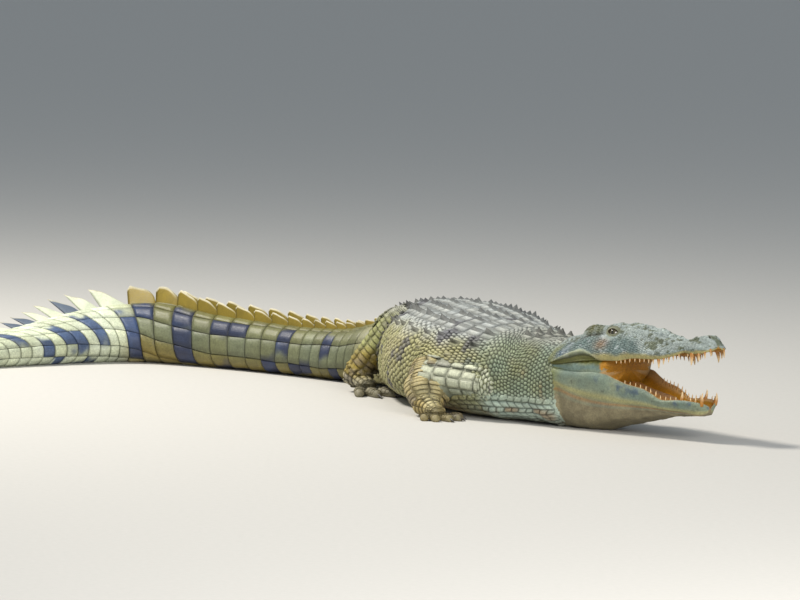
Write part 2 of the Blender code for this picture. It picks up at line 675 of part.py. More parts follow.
def segment(name, start, end, radii, flat=0.86, columns=10, share=LIMB_ROWS):
    """A tapered round-ended segment: radii at its start, middle and end."""
    start = np.asarray(start)
    end = np.asarray(end)
    length = np.linalg.norm(end - start)
    axis = (end - start) / length
    side = np.cross(axis, (0.0, 0.0, 1.0))
    side = side / np.linalg.norm(side)
    top = np.cross(side, axis)
    share = np.array(share)
    low = np.clip(-share, 0.0, 1.0)
    high = np.clip(share - 1.0, 0.0, 1.0)
    along = np.clip(share, 0.0, 1.0) * length - low * radii[0] + high * radii[2]
    radius = ease(np.clip(share, 0.0, 1.0), (0.0, 0.45, 1.0), radii)
    radius = radius * np.sqrt(np.clip(1.0 - (low + high) ** 2, 0.0, 1.0))
    turn = turns(columns).reshape(1, -1, 1)
    rings = start + along[:, None, None] * axis
    rings = rings + radius[:, None, None] * (np.cos(turn) * top * flat + np.sin(turn) * side)
    rings[..., 2] = np.maximum(rings[..., 2], 0.0)
    return loft(name, rings)


def joint_plane(before, joint, after):
    """The plane that halves the bend at a joint."""
    first = (joint - before) / np.linalg.norm(joint - before)
    second = (after - joint) / np.linalg.norm(after - joint)
    normal = first + second
    return normal / np.linalg.norm(normal)


def toes(name, wrist, knuckles, side, at, spread, lengths, radius):
    """Toes fanned out from the wrist, each a tapered segment ending in a claw."""
    made = []
    angle = float(heading(at))
    forward = np.array([math.cos(angle), -math.sin(angle), 0.0])
    outward = side * np.array([-math.sin(angle), -math.cos(angle), 0.0])
    for turn, length in zip(spread, lengths):
        way = math.cos(math.radians(turn)) * forward + math.sin(math.radians(turn)) * outward
        root = knuckles + 0.4 * (wrist - knuckles)
        root = np.array([root[0], root[1], 0.0]) + 0.02 * math.sin(math.radians(turn)) * outward
        cross = np.array([-way[1], way[0], 0.0])
        turn = turns(6, 0.5).reshape(-1, 1)
        rings = []
        for along, size, rise in DIGIT:
            middle = root + way * length * along
            ring = middle + radius * size * (np.sin(turn) * cross + np.cos(turn) * np.array([0.0, 0.0, 0.9]))
            ring[:, 2] += radius * rise - ring[:, 2].min() - PRESS
            ring[:, 2] = np.maximum(ring[:, 2], 0.0)
            rings.append(ring)
        made.append(loft(name, np.array(rings)))
    return made


HAND = dict(spread=(-42, -18, 4, 26, 50), lengths=(0.060, 0.076, 0.082, 0.076, 0.058), radius=0.0125)
FOOT = dict(spread=(-30, -8, 14, 38), lengths=(0.092, 0.112, 0.112, 0.090), radius=0.0145)


def build_limb(names, at, side, joints, radii, digits, trunk_tools):
    """Three nodes from the body outwards, parted at the bends, the last with toes and claws."""
    a, b, c, d = (limb_place(at, side, joint) for joint in joints)
    planes = (joint_plane(a, b, c), joint_plane(b, c, d))
    half = GAP / 2
    upper = segment(names[0], a, b, radii[0])
    upper = slice_off(upper, (b - half * planes[0]).tolist(), planes[0].tolist())
    lower = segment(names[1], b, c, radii[1])
    lower = slice_off(lower, (b + half * planes[0]).tolist(), (-planes[0]).tolist())
    lower = slice_off(lower, (c - half * planes[1]).tolist(), planes[1].tolist())
    palm = segment(names[2], c, c + 0.72 * (d - c), radii[2], 0.8)
    palm = slice_off(palm, (c + half * planes[1]).tolist(), (-planes[1]).tolist())
    made = []
    for name, mesh in zip(names[:2], (upper, lower)):
        made.append(put(name, mesh, HIDE_COLOR))
    hand = put(names[2], palm, HIDE_COLOR)
    made.append(hand)
    for digit in toes(names[2], c, d, side, at, **digits):
        boolean(hand, cutter("digit", digit), "UNION")
    for obj in made:
        for tool in trunk_tools:
            boolean(obj, tool, "DIFFERENCE")
    return made


def build_legs(neck, front, rear):
    tools = [grown(neck), grown(front), grown(rear), grown(bpy.data.objects["tail_1"])]
    sides = ((1.0, "right", FORELEG_RIGHT, HINDLEG_RIGHT), (-1.0, "left", FORELEG_LEFT, HINDLEG_LEFT))
    for side, word, foreleg, hindleg in sides:
        names = tuple(f"{part}_{word}" for part in ("upper_arm", "forearm", "hand"))
        build_limb(names, SHOULDER_AT, side, foreleg, FORELEG_RADII, HAND, tools[:3])
        names = tuple(f"{part}_{word}" for part in ("thigh", "shank", "foot"))
        build_limb(names, HIP_AT, side, hindleg, HINDLEG_RADII, FOOT, tools[1:])


clear_scene()
PARTS = new_collection("nile_crocodile")
CUTTERS = new_collection("cutters")
NECK_NODE, FRONT_NODE, REAR_NODE = build_body()
build_tail()
UPPER_NODE, LOWER_NODE = build_head()
build_mouth(UPPER_NODE, LOWER_NODE, NECK_NODE)
build_legs(NECK_NODE, FRONT_NODE, REAR_NODE)
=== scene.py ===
import itertools
import math

import bpy
import numpy as np
from bpy.props import FloatProperty, FloatVectorProperty, PointerProperty
from mathutils import Matrix, Vector
from mathutils.bvhtree import BVHTree


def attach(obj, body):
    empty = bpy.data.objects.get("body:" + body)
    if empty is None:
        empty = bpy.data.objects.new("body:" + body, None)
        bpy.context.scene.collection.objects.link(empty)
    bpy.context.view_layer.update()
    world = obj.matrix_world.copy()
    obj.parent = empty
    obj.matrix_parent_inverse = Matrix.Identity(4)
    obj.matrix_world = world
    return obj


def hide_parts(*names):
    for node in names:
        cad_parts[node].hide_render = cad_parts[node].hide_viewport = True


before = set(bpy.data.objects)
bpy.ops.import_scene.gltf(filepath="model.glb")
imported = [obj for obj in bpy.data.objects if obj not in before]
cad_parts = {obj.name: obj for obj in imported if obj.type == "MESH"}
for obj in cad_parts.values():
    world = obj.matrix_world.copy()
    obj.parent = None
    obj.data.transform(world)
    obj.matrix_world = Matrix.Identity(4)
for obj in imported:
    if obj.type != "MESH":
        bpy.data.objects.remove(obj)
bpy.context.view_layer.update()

bl_info = {
    "name": "Nile Crocodile Model",
    "version": (1, 0, 0),
    "blender": (4, 5, 0),
    "location": "View3D > Sidebar > Crocodile",
    "description": "Builds the skin, scales, teeth, claws and eyes of a basking Nile crocodile",
    "category": "Object",
}

# ---------------------------------------------------------------- lengths of the animal
SHOULDER_AT = 0.28
HIP_AT = 1.06
TIP_AT = 2.98
PELVIS_END = 1.16
CREST_MERGE = 2.00
YAW = math.radians(45.0)
CRANIUM_PITCH = 7.9
JAW_PITCH = -8.1
MOUTH_PITCH = 0.5 * (CRANIUM_PITCH + JAW_PITCH)
HALF_GAPE = 0.5 * (CRANIUM_PITCH - JAW_PITCH)
HINGE_BACK = 0.042
HINGE_HEIGHT = 0.168
OCCIPUT = (0.806, -0.607)
FLAT = 0.002
FLOOR_CLEAR = 0.0004
GUM = 0.018
MOUTH_CORNER = 0.176
EYE = (0.180, 0.049, 0.069)
EYE_RADIUS = 0.0165
SOCKET_GAP = 0.0003
NOSTRIL = (0.484, 0.0125, 0.0425)

# heading of the body in degrees from +X towards -Y, at places along the back
HEADING_AT = (0.0, 0.28, 0.45, 0.70, 0.92, 1.04, 1.14, 1.30, 1.55, 1.80, 1.96, 2.06, 2.16, 2.38, 2.58, 2.98)
HEADING = (45.0, 56.0, 70.0, 77.0, 71.0, 57.0, 45.0, 40.0, 36.0, 28.0, 18.0, -4.0, -27.0, -41.0, -46.0, -52.0)
# lean of the tail's crest towards the animal's left, in degrees
ROLL_AT = (0.0, 1.78, 1.94, 2.04, 2.18, 2.38, 2.58, 2.98)
ROLL = (0.0, 0.0, 10.0, 26.0, 44.0, 60.0, 72.0, 76.0)
# place, half-width, height, level of the widest part, exponents above and below, narrowing upwards
BODY = (
    (0.045, 0.130, 0.228, 0.46, 2.4, 2.6, 0.00),
    (0.150, 0.146, 0.233, 0.44, 2.4, 2.6, 0.00),
    (0.280, 0.182, 0.250, 0.40, 2.4, 2.7, 0.00),
    (0.440, 0.222, 0.264, 0.38, 2.4, 2.8, 0.00),
    (0.600, 0.242, 0.270, 0.36, 2.4, 2.8, 0.00),
    (0.780, 0.228, 0.268, 0.36, 2.4, 2.8, 0.00),
    (0.930, 0.190, 0.258, 0.38, 2.4, 2.7, 0.00),
    (1.060, 0.156, 0.236, 0.40, 2.5, 2.6, 0.02),
    (1.180, 0.136, 0.182, 0.42, 2.6, 2.6, 0.06),
    (1.320, 0.122, 0.148, 0.44, 2.8, 2.6, 0.08),
    (1.500, 0.106, 0.141, 0.45, 3.0, 2.6, 0.10),
    (1.750, 0.088, 0.149, 0.46, 3.0, 2.6, 0.14),
    (2.000, 0.070, 0.166, 0.46, 2.6, 2.5, 0.22),
    (2.180, 0.058, 0.160, 0.45, 2.2, 2.4, 0.35),
    (2.380, 0.046, 0.138, 0.45, 2.1, 2.3, 0.38),
    (2.580, 0.036, 0.108, 0.45, 2.1, 2.2, 0.38),
    (2.760, 0.025, 0.074, 0.46, 2.0, 2.1, 0.35),
    (2.900, 0.014, 0.040, 0.48, 2.0, 2.0, 0.30),
    (2.980, 0.004, 0.010, 0.50, 2.0, 2.0, 0.00),
)
# upper jaw: place ahead of the hinge, half-width, lip, palate, top, half-width of the flat top
CRANIUM = (
    (0.000, 0.126, 0.003, 0.003, 0.062, 0.060),
    (0.042, 0.127, 0.002, 0.004, 0.070, 0.067),
    (0.076, 0.124, 0.003, 0.007, 0.074, 0.067),
    (0.092, 0.121, 0.004, 0.009, 0.088, 0.066),
    (0.112, 0.118, 0.004, 0.011, 0.094, 0.064),
    (0.150, 0.109, 0.003, 0.014, 0.088, 0.058),
    (0.180, 0.101, 0.000, 0.016, 0.087, 0.052),
    (0.216, 0.090, -0.003, 0.018, 0.081, 0.047),
    (0.260, 0.079, 0.000, 0.018, 0.071, 0.045),
    (0.305, 0.073, -0.004, 0.015, 0.056, 0.045),
    (0.349, 0.071, -0.007, 0.012, 0.040, 0.044),
    (0.388, 0.061, -0.002, 0.010, 0.031, 0.038),
    (0.416, 0.046, 0.005, 0.011, 0.032, 0.031),
    (0.445, 0.053, 0.001, 0.010, 0.042, 0.034),
    (0.472, 0.048, 0.000, 0.009, 0.040, 0.028),
    (0.490, 0.034, 0.002, 0.009, 0.032, 0.017),
    (0.498, 0.019, 0.006, 0.010, 0.025, 0.009),
    (0.501, 0.004, 0.012, 0.013, 0.017, 0.002),
)
# lower jaw: place, half-width, lip, mouth floor, half-width of the lower edge, lower edge, pouch
JAW = (
    (0.000, 0.126, -0.003, -0.003, 0.118, -0.052, -0.185),
    (0.050, 0.125, -0.002, -0.004, 0.116, -0.058, -0.178),
    (0.100, 0.118, 0.004, -0.012, 0.108, -0.066, -0.168),
    (0.140, 0.110, 0.012, -0.020, 0.099, -0.068, -0.152),
    (0.178, 0.100, 0.015, -0.025, 0.090, -0.066, -0.133),
    (0.210, 0.091, 0.008, -0.028, 0.082, -0.062, -0.120),
    (0.250, 0.079, 0.001, -0.029, 0.071, -0.057, -0.106),
    (0.290, 0.071, 0.000, -0.028, 0.063, -0.051, -0.090),
    (0.325, 0.066, -0.008, -0.027, 0.058, -0.047, -0.077),
    (0.352, 0.061, -0.016, -0.028, 0.053, -0.045, -0.066),
    (0.400, 0.054, -0.006, -0.021, 0.044, -0.040, -0.052),
    (0.436, 0.050, 0.000, -0.014, 0.037, -0.036, -0.043),
    (0.460, 0.041, 0.001, -0.012, 0.028, -0.034, -0.038),
    (0.471, 0.029, -0.001, -0.011, 0.018, -0.031, -0.034),
    (0.477, 0.014, -0.006, -0.012, 0.008, -0.026, -0.028),
    (0.479, 0.003, -0.012, -0.014, 0.002, -0.018, -0.020),
)
# joints in the body's frame at the limb's root: ahead, outwards, height above the floor
FORELEG_RIGHT = (
    (0.030, 0.146, 0.098), (-0.138, 0.216, 0.108), (-0.084, 0.246, 0.032), (-0.006, 0.262, 0.016),
)
FORELEG_LEFT = (
    (0.030, 0.146, 0.098), (-0.085, 0.272, 0.108), (-0.005, 0.296, 0.032), (0.070, 0.300, 0.016),
)
HINDLEG_RIGHT = (
    (-0.020, 0.080, 0.130), (0.120, 0.170, 0.198), (0.030, 0.250, 0.050), (0.120, 0.262, 0.018),
)
HINDLEG_LEFT = (
    (-0.020, 0.080, 0.125), (0.120, 0.175, 0.172), (0.030, 0.255, 0.050), (0.120, 0.267, 0.018),
)
FORELEG_RADII = ((0.052, 0.050, 0.052), (0.054, 0.064, 0.044), (0.039, 0.034, 0.024))
HINDLEG_RADII = ((0.078, 0.072, 0.054), (0.054, 0.053, 0.043), (0.040, 0.034, 0.026))
HAND = dict(spread=(-42, -18, 4, 26, 50), lengths=(0.060, 0.076, 0.082, 0.076, 0.058), radius=0.0125)
FOOT = dict(spread=(-30, -8, 14, 38), lengths=(0.092, 0.112, 0.112, 0.090), radius=0.0145)
# place along the jaw and length of each tooth of one side
UPPER_TEETH = (
    (0.493, 0.014), (0.483, 0.017), (0.468, 0.020), (0.449, 0.030), (0.433, 0.012),
    (0.402, 0.010), (0.389, 0.012), (0.376, 0.014), (0.362, 0.018), (0.345, 0.024),
    (0.327, 0.014), (0.312, 0.011), (0.297, 0.010), (0.282, 0.010), (0.267, 0.010),
    (0.252, 0.010), (0.238, 0.010), (0.225, 0.009), (0.212, 0.008),
)
LOWER_TEETH = (
    (0.468, 0.028), (0.455, 0.013), (0.442, 0.011), (0.414, 0.026), (0.396, 0.010),
    (0.380, 0.010), (0.364, 0.011), (0.348, 0.012), (0.332, 0.013), (0.316, 0.012),
    (0.299, 0.011), (0.283, 0.010), (0.267, 0.010), (0.251, 0.009), (0.236, 0.008),
)
# length of the tail's whorls, and height of the crest, at places along the back
WHORL_AT = (1.10, 1.24, 1.42, 1.54, 1.70, 1.87, 2.00, 2.10, 2.18, 2.42, 2.98)
WHORL_LENGTH = (0.036, 0.036, 0.044, 0.060, 0.067, 0.072, 0.068, 0.056, 0.043, 0.040, 0.030)
CREST_AT = (1.06, 1.20, 1.42, 1.60, 1.90, 2.02, 2.10, 2.17, 2.25, 2.34, 2.42, 2.60, 2.98)
CREST_TALL = (0.010, 0.018, 0.026, 0.034, 0.044, 0.058, 0.070, 0.078, 0.074, 0.062, 0.050, 0.042, 0.010)
# how far a whorl's belly end lies ahead of its crest end
SLANT_AT = (1.20, 1.50, 1.65, 1.87, 2.00, 2.12, 2.25, 2.40, 2.98)
SLANT = (-0.020, 0.0, 0.010, 0.030, 0.042, 0.056, 0.080, 0.085, 0.020)


# ---------------------------------------------------------------- curves, noise and blending
def ease(at, places, values):
    """A smooth curve through the values: cubic pieces whose slope at each place is the harmonic
    mean of the slopes on its two sides, and zero at a peak, so that it never overshoots."""
    x = np.asarray(places, float)
    y = np.asarray(values, float)
    at = np.clip(np.asarray(at, float), x[0], x[-1])
    step = np.diff(x)
    rise = np.diff(y) / step
    same = rise[:-1] * rise[1:] > 0
    pair = np.where(same, rise[:-1] + rise[1:], 1.0)
    inner = np.where(same, 2 * rise[:-1] * rise[1:] / pair, 0.0)
    slope = np.concatenate(([rise[0]], inner, [rise[-1]]))
    i = np.clip(np.searchsorted(x, at, side="right") - 1, 0, len(step) - 1)
    h = step[i]
    t = (at - x[i]) / h
    return (
        y[i] * (1 + 2 * t) * (1 - t) ** 2
        + slope[i] * h * t * (1 - t) ** 2
        + y[i + 1] * t * t * (3 - 2 * t)
        + slope[i + 1] * h * t * t * (t - 1)
    )


def ramp(value, low, high):
    """0 below low, 1 above high, and a smooth S between."""
    t = np.clip((np.asarray(value, float) - low) / (high - low), 0.0, 1.0)
    return t * t * (3 - 2 * t)


def bell(value, middle, width):
    """A Gaussian bell of height 1."""
    return np.exp(-(((value - middle) / width) ** 2))


def hashed(cell, salt):
    """A number from 0 to 1 for each triple of whole numbers, the same on every run."""
    key = (cell.reshape(-1, 3) @ np.array([127.1, 311.7, 74.7])).reshape(cell.shape[:-1]) + 19.19 * salt
    return np.modf(np.abs(np.sin(key) * 43758.5453))[0]


def noise(points, size, salt):
    """Smooth value noise from -1 to 1: hashed corners of cubes of a size, blended across them."""
    place = points / size
    cell = np.floor(place)
    t = place - cell
    t = t * t * (3 - 2 * t)
    total = np.zeros(points.shape[:-1])
    for corner in itertools.product((0, 1), repeat=3):
        share = np.prod(np.abs(1 - np.array(corner) - t), axis=-1)
        total += share * hashed(cell + np.array(corner), salt)
    return 2 * total - 1


def mix(first, second, share):
    """Two colours, or arrays of them, blended row by row."""
    share = np.asarray(share, float)[..., None]
    return np.asarray(first, float) * (1 - share) + np.asarray(second, float) * share


def layered(colour, *coats):
    """A colour under coats of others, each with the share that it covers."""
    for coat, share in coats:
        colour = mix(colour, coat, share)
    return colour


def column(table, at, index):
    """One column of a table as a smooth curve over its first column."""
    return ease(at, [row[0] for row in table], [row[index] for row in table])


# ---------------------------------------------------------------- the body's own surface
PATH_AT = np.linspace(0.0, TIP_AT, 1600)


def heading(at):
    """The body's heading at a place, in radians."""
    return np.radians(ease(at, HEADING_AT, HEADING))


def path_points():
    """The plan path, walked back from the skull along the heading in small equal steps."""
    step = PATH_AT[1] - PATH_AT[0]
    angle = heading(PATH_AT - step / 2)
    x = OCCIPUT[0] - np.cumsum(np.cos(angle)) * step + np.cos(angle[0]) * step
    y = OCCIPUT[1] + np.cumsum(np.sin(angle)) * step - np.sin(angle[0]) * step
    return x, y


PATH_X, PATH_Y = path_points()


def signed_power(value, power):
    """A power of the size of a value, with the value's sign."""
    return np.sign(value) * np.abs(value) ** power


def section(at, turn):
    """Across and above a place of the body's section: a superellipse whose width narrows upwards,
    turned over by the crest's lean.  turn is 0 at the crest and grows to the right."""
    half = column(BODY, at, 1)
    tall = column(BODY, at, 2)
    level = column(BODY, at, 3) * tall
    round_top = 2.0 / column(BODY, at, 4)
    round_low = 2.0 / column(BODY, at, 5)
    up = np.cos(turn)
    high = up > 0
    rise = np.where(high, (tall - level) * np.abs(up) ** round_top, 0.0)
    drop = np.where(high, 0.0, -level * np.abs(up) ** round_low)
    wide = half * signed_power(np.sin(turn), np.where(high, round_top, round_low))
    z = rise + drop
    wide = wide * (1.0 - column(BODY, at, 6) * z / tall)
    lean = np.radians(ease(at, ROLL_AT, ROLL))
    return wide * np.cos(lean) - z * np.sin(lean), wide * np.sin(lean) + z * np.cos(lean)


def girth_tables():
    """For places along the back: the section's lowest level, and the turn that lies at each even
    share of the girth, counted from the crest."""
    turn = np.linspace(0.0, 2 * np.pi, 721)
    places = PATH_AT[::8]
    rows = np.broadcast_to(places[:, None], (len(places), len(turn)))
    across, above = section(rows, np.broadcast_to(turn, rows.shape))
    length = np.hypot(np.diff(across, axis=1), np.diff(above, axis=1))
    walked = np.concatenate([np.zeros((len(rows), 1)), np.cumsum(length, axis=1)], axis=1)
    turned = np.array([np.interp(SHARES, w / w[-1], turn) for w in walked])
    return places, above.min(axis=1), turned


SHARES = np.linspace(0.0, 1.0, 241)
GIRTH_AT, FOOT_LEVEL, TURNED = girth_tables()


def turn_of(at, share):
    """The turn that lies at a share of the girth, read from the table between its places."""
    last = len(SHARES) - 1
    i = (np.asarray(at) - GIRTH_AT[0]) / (GIRTH_AT[1] - GIRTH_AT[0])
    i = np.clip(i, 0.0, len(GIRTH_AT) - 1.001)
    j = np.mod(share, 1.0) * last
    i0 = np.floor(i).astype(int)
    j0 = np.minimum(np.floor(j).astype(int), last - 1)
    a = i - i0
    b = j - j0
    low = TURNED[i0, j0] * (1 - b) + TURNED[i0, j0 + 1] * b
    high = TURNED[i0 + 1, j0] * (1 - b) + TURNED[i0 + 1, j0 + 1] * b
    return low * (1 - a) + high * a


def body_place(at, share):
    """Points of the body's outside for places along it and shares of its girth from the crest."""
    across, above = section(at, turn_of(at, share))
    z = np.maximum(above - np.interp(at, GIRTH_AT, FOOT_LEVEL) - FLAT, 0.0)
    angle = heading(at)
    x = np.interp(at, PATH_AT, PATH_X) - across * np.sin(angle)
    y = np.interp(at, PATH_AT, PATH_Y) - across * np.cos(angle)
    return np.stack([x, y, z], axis=-1)


def from_crest(share):
    """How far round the body a share of the girth lies: 0 at the crest, 1 under the belly."""
    return np.abs(np.mod(share + 0.5, 1.0) - 0.5) * 2


# ---------------------------------------------------------------- the head's own surfaces
def cranium_cage(at):
    """Half-section of the upper jaw, from the palate's middle round the lip to the crown."""
    w, lip, palate, top, flat = (column(CRANIUM, at, i) for i in range(1, 6))
    flare = w - flat
    gum = GUM * w / (w + 0.02)
    return [
        (0 * w, palate),
        (0.55 * w, palate + 0.003 * w / 0.1),
        (w - gum, 0.6 * palate + 0.4 * lip),
        (w - 0.25 * gum, lip),
        (w, lip + 0.20 * (top - lip)),
        (flat + 0.66 * flare, lip + 0.52 * (top - lip)),
        (flat + 0.14 * flare, lip + 0.82 * (top - lip)),
        (0.80 * flat, top),
        (0 * w, top - 0.03 * flat),
    ]


def jaw_cage(at):
    """Half-section of the lower jaw, from the mouth floor over the lip to the throat pouch."""
    w, lip, floor, low_w, edge, pouch = (column(JAW, at, i) for i in range(1, 7))
    gum = GUM * w / (w + 0.02)
    return [
        (0 * w, floor),
        (0.75 * (w - gum), floor),
        (w - gum, 0.4 * floor + 0.6 * lip),
        (w - 0.45 * gum, lip),
        (w, lip + 0.18 * (edge - lip)),
        (0.5 * (w + low_w) + 0.02 * w, 0.45 * lip + 0.55 * edge),
        (low_w, edge),
        (0.72 * low_w, 0.35 * edge + 0.65 * pouch),
        (0 * w, pouch),
    ]


def caged(cage, at, turn):
    """Points (ahead, left, up) of a jaw in its own frame: a closed Catmull-Rom curve through the
    cage and its mirror image, read at a turn from 0 to 2 pi round the section."""
    half = np.array([[np.broadcast_to(v, at.shape) for v in pair] for pair in cage(at)])
    ring = np.concatenate([half, half[-2:0:-1] * np.array([-1.0, 1.0]).reshape(1, 2, 1)])
    count = len(ring)
    u = np.mod(turn / (2 * np.pi), 1.0) * count
    i = np.floor(u).astype(int)
    t = u - i
    k = np.arange(len(at))
    a, b, c, d = (ring[(i + step) % count, :, k].T for step in (-1, 0, 1, 2))
    curve = 0.5 * (
        2 * b + (c - a) * t + (2 * a - 5 * b + 4 * c - d) * t * t + (3 * b - a - 3 * c + d) * t ** 3
    )
    return np.stack([at, curve[0], curve[1]], axis=-1)


HINGE = (OCCIPUT[0] - HINGE_BACK * math.cos(YAW), OCCIPUT[1] + HINGE_BACK * math.sin(YAW), HINGE_HEIGHT)


def head_to_world(points, pitch):
    """Turns points of a jaw's frame by its pitch and the head's yaw, about the hinge."""
    tip = math.radians(pitch)
    ahead = points[..., 0] * math.cos(tip) - points[..., 2] * math.sin(tip)
    up = points[..., 0] * math.sin(tip) + points[..., 2] * math.cos(tip)
    left = points[..., 1]
    x = HINGE[0] + ahead * math.cos(YAW) + left * math.sin(YAW)
    y = HINGE[1] - ahead * math.sin(YAW) + left * math.cos(YAW)
    return np.stack([x, y, np.maximum(HINGE[2] + up, 0.0)], axis=-1)


def ring_step(v):
    """Steps of the cage from the inside's middle (0) to the outside's (8), for a turn."""
    step = np.mod(v / (2 * np.pi), 1.0) * 16
    return np.minimum(step, 16 - step)


def tooth_roots(x, teeth):
    """1 over the root of each long tooth of a row, and less over the short ones."""
    return np.max([bell(x, at, 0.0065) * min(1.0, length / 0.02) for at, length in teeth], axis=0)


def ear_slit(x, step, width):
    """1 along the line of the ear's flap, behind and below the corner of the skull's table."""
    line = bell(step, 5.55 + 9.0 * (x - 0.10), width)
    return line * ramp(x, 0.080, 0.100) * (1 - ramp(x, 0.150, 0.170))


# ---------------------------------------------------------------- patches
class Patch:
    """A surface of two parameters, with the side its outside is on and its place on the unwrap."""

    coated = 1.0

    def __init__(self, name, sign, origin, scale):
        self.name = name
        self.sign = sign
        self.origin = origin
        self.scale = scale

    def normal(self, u, v):
        """Outward direction: the cross product of small steps along both parameters."""
        du, dv = self.steps
        along = self.base(u + du, v) - self.base(u - du, v)
        round_ = self.base(u, v + dv) - self.base(u, v - dv)
        out = np.cross(along, round_) * self.sign
        size = np.linalg.norm(out, axis=-1, keepdims=True)
        return out / np.maximum(size, 1e-12)

    def place(self, u, v, lift=0.0):
        """Points at a lift above the skin, kept just clear of the floor."""
        u = np.asarray(u, float)
        v = np.asarray(v, float)
        base = self.base(u, v)
        out = self.normal(u, v)
        rise = np.asarray(self.relief(u, v, base)) - SIZES["depth"] * self.coated + lift
        points = base + out * np.broadcast_to(rise, u.shape)[..., None]
        points[..., 2] = np.maximum(points[..., 2], FLOOR_CLEAR)
        return points

    def relief(self, u, v, base):
        return np.zeros(u.shape)

    def bears(self, u, v):
        """Where scales grow at all."""
        return np.ones(u.shape, dtype=bool)

    def painted_gap_shade(self, u):
        """How bright the skin is painted: darker where it only shows between scales, as painted shade in the
        gaps.
        """
        return np.full(u.shape, 0.55)

    def unwrap(self, u, v):
        """Places on the unwrap: each patch has its own island, in even proportion to its size."""
        return np.stack([self.origin[0] + self.scale[0] * u, self.origin[1] + self.scale[1] * v], axis=-1)


class Body(Patch):
    """Neck, trunk and tail: u is the place along the back, v the share of the girth."""

    steps = (0.002, 0.002)

    def __init__(self):
        super().__init__("body", 1.0, (0.005, 0.01), (0.33, 0.27))

    def base(self, u, v):
        return body_place(np.clip(u, 0.0, TIP_AT), v)

    # painted shade of the skin where it shows between scales: half as bright from the neck on, darker still
    # on the tail
    def painted_gap_shade(self, u):
        return 1 - 0.5 * ramp(u, 0.02, 0.06) - 0.25 * ramp(u, 1.12, 1.20)

    def relief(self, u, v, base):
        """Slow swells of muscle and fat, folds behind the head and in front of the hips."""
        side = from_crest(v)
        fold = 0.0035 * bell(u, 0.235, 0.022) * ramp(side, 0.25, 0.5)
        fold = fold - 0.004 * bell(u, 0.10, 0.016) * ramp(side, 0.2, 0.45)
        swell = 0.0025 * noise(base, 0.09, 3.0)
        keep = 1 - ramp(side, 0.86, 0.94)
        inset = 0.006 * (1 - ramp(u, 0.030, 0.060))
        return (fold + swell * (1 - 0.6 * ramp(u, 1.2, 1.6))) * keep - inset


def bump(x, y, at, aside, width, height, length):
    """A mound on both sides of the head, at a place ahead of the hinge and off the middle."""
    return height * np.exp(-(((x - at) / length) ** 2) - ((np.abs(y) - aside) / width) ** 2)


# mounds and hollows of the skull: ahead of the hinge, off the middle, width, height, length
MOUNDS = (
    (0.112, 0.058, 0.015, 0.0020, 0.022),
    (0.178, 0.036, 0.009, 0.0050, 0.024),
    (0.235, 0.034, 0.010, 0.0040, 0.022),
    (0.330, 0.030, 0.010, 0.0028, 0.070),
    (0.478, 0.000, 0.024, 0.0055, 0.017),
    (0.452, 0.000, 0.016, -0.0030, 0.012),
    (0.100, 0.000, 0.030, -0.0030, 0.045),
    (0.185, 0.000, 0.014, -0.0040, 0.030),
    (0.205, 0.062, 0.009, -0.0040, 0.013),
)
# knobs in front of the eyes: ahead of the hinge, width, share of the tallest
KNOBS = ((0.222, 0.006, 1.0), (0.252, 0.007, 1.0), (0.286, 0.007, 0.8), (0.312, 0.006, 0.7))


def arch_share(p):
    """How far above the lip a place of the upper jaw lies, as a share of the arch of the cheek
    there: the arch bows up behind the corner of the mouth."""
    places = (0.0, 0.020, 0.070, 0.110, 0.138, 0.165)
    rise = ease(p[..., 0], places, (0.002, 0.005, 0.016, 0.021, 0.015, 0.0005))
    return (p[..., 2] - column(CRANIUM, np.clip(p[..., 0], 0.0, 0.5), 2)) / rise


class HeadPatch(Patch):
    """A surface of the head, read from a cage in the frame of its jaw.  It isn't sunk by the
    depth of the coat."""

    coated = 0.0
    steps = (0.001, 0.01)

    def painted_gap_shade(self, u):
        return np.ones(u.shape)

    def local(self, u, v):
        return caged(self.cage, np.clip(u.ravel(), 0.0, self.reach), v.ravel()).reshape(*u.shape, 3)

    def base(self, u, v):
        return head_to_world(self.local(u, v), self.pitch)


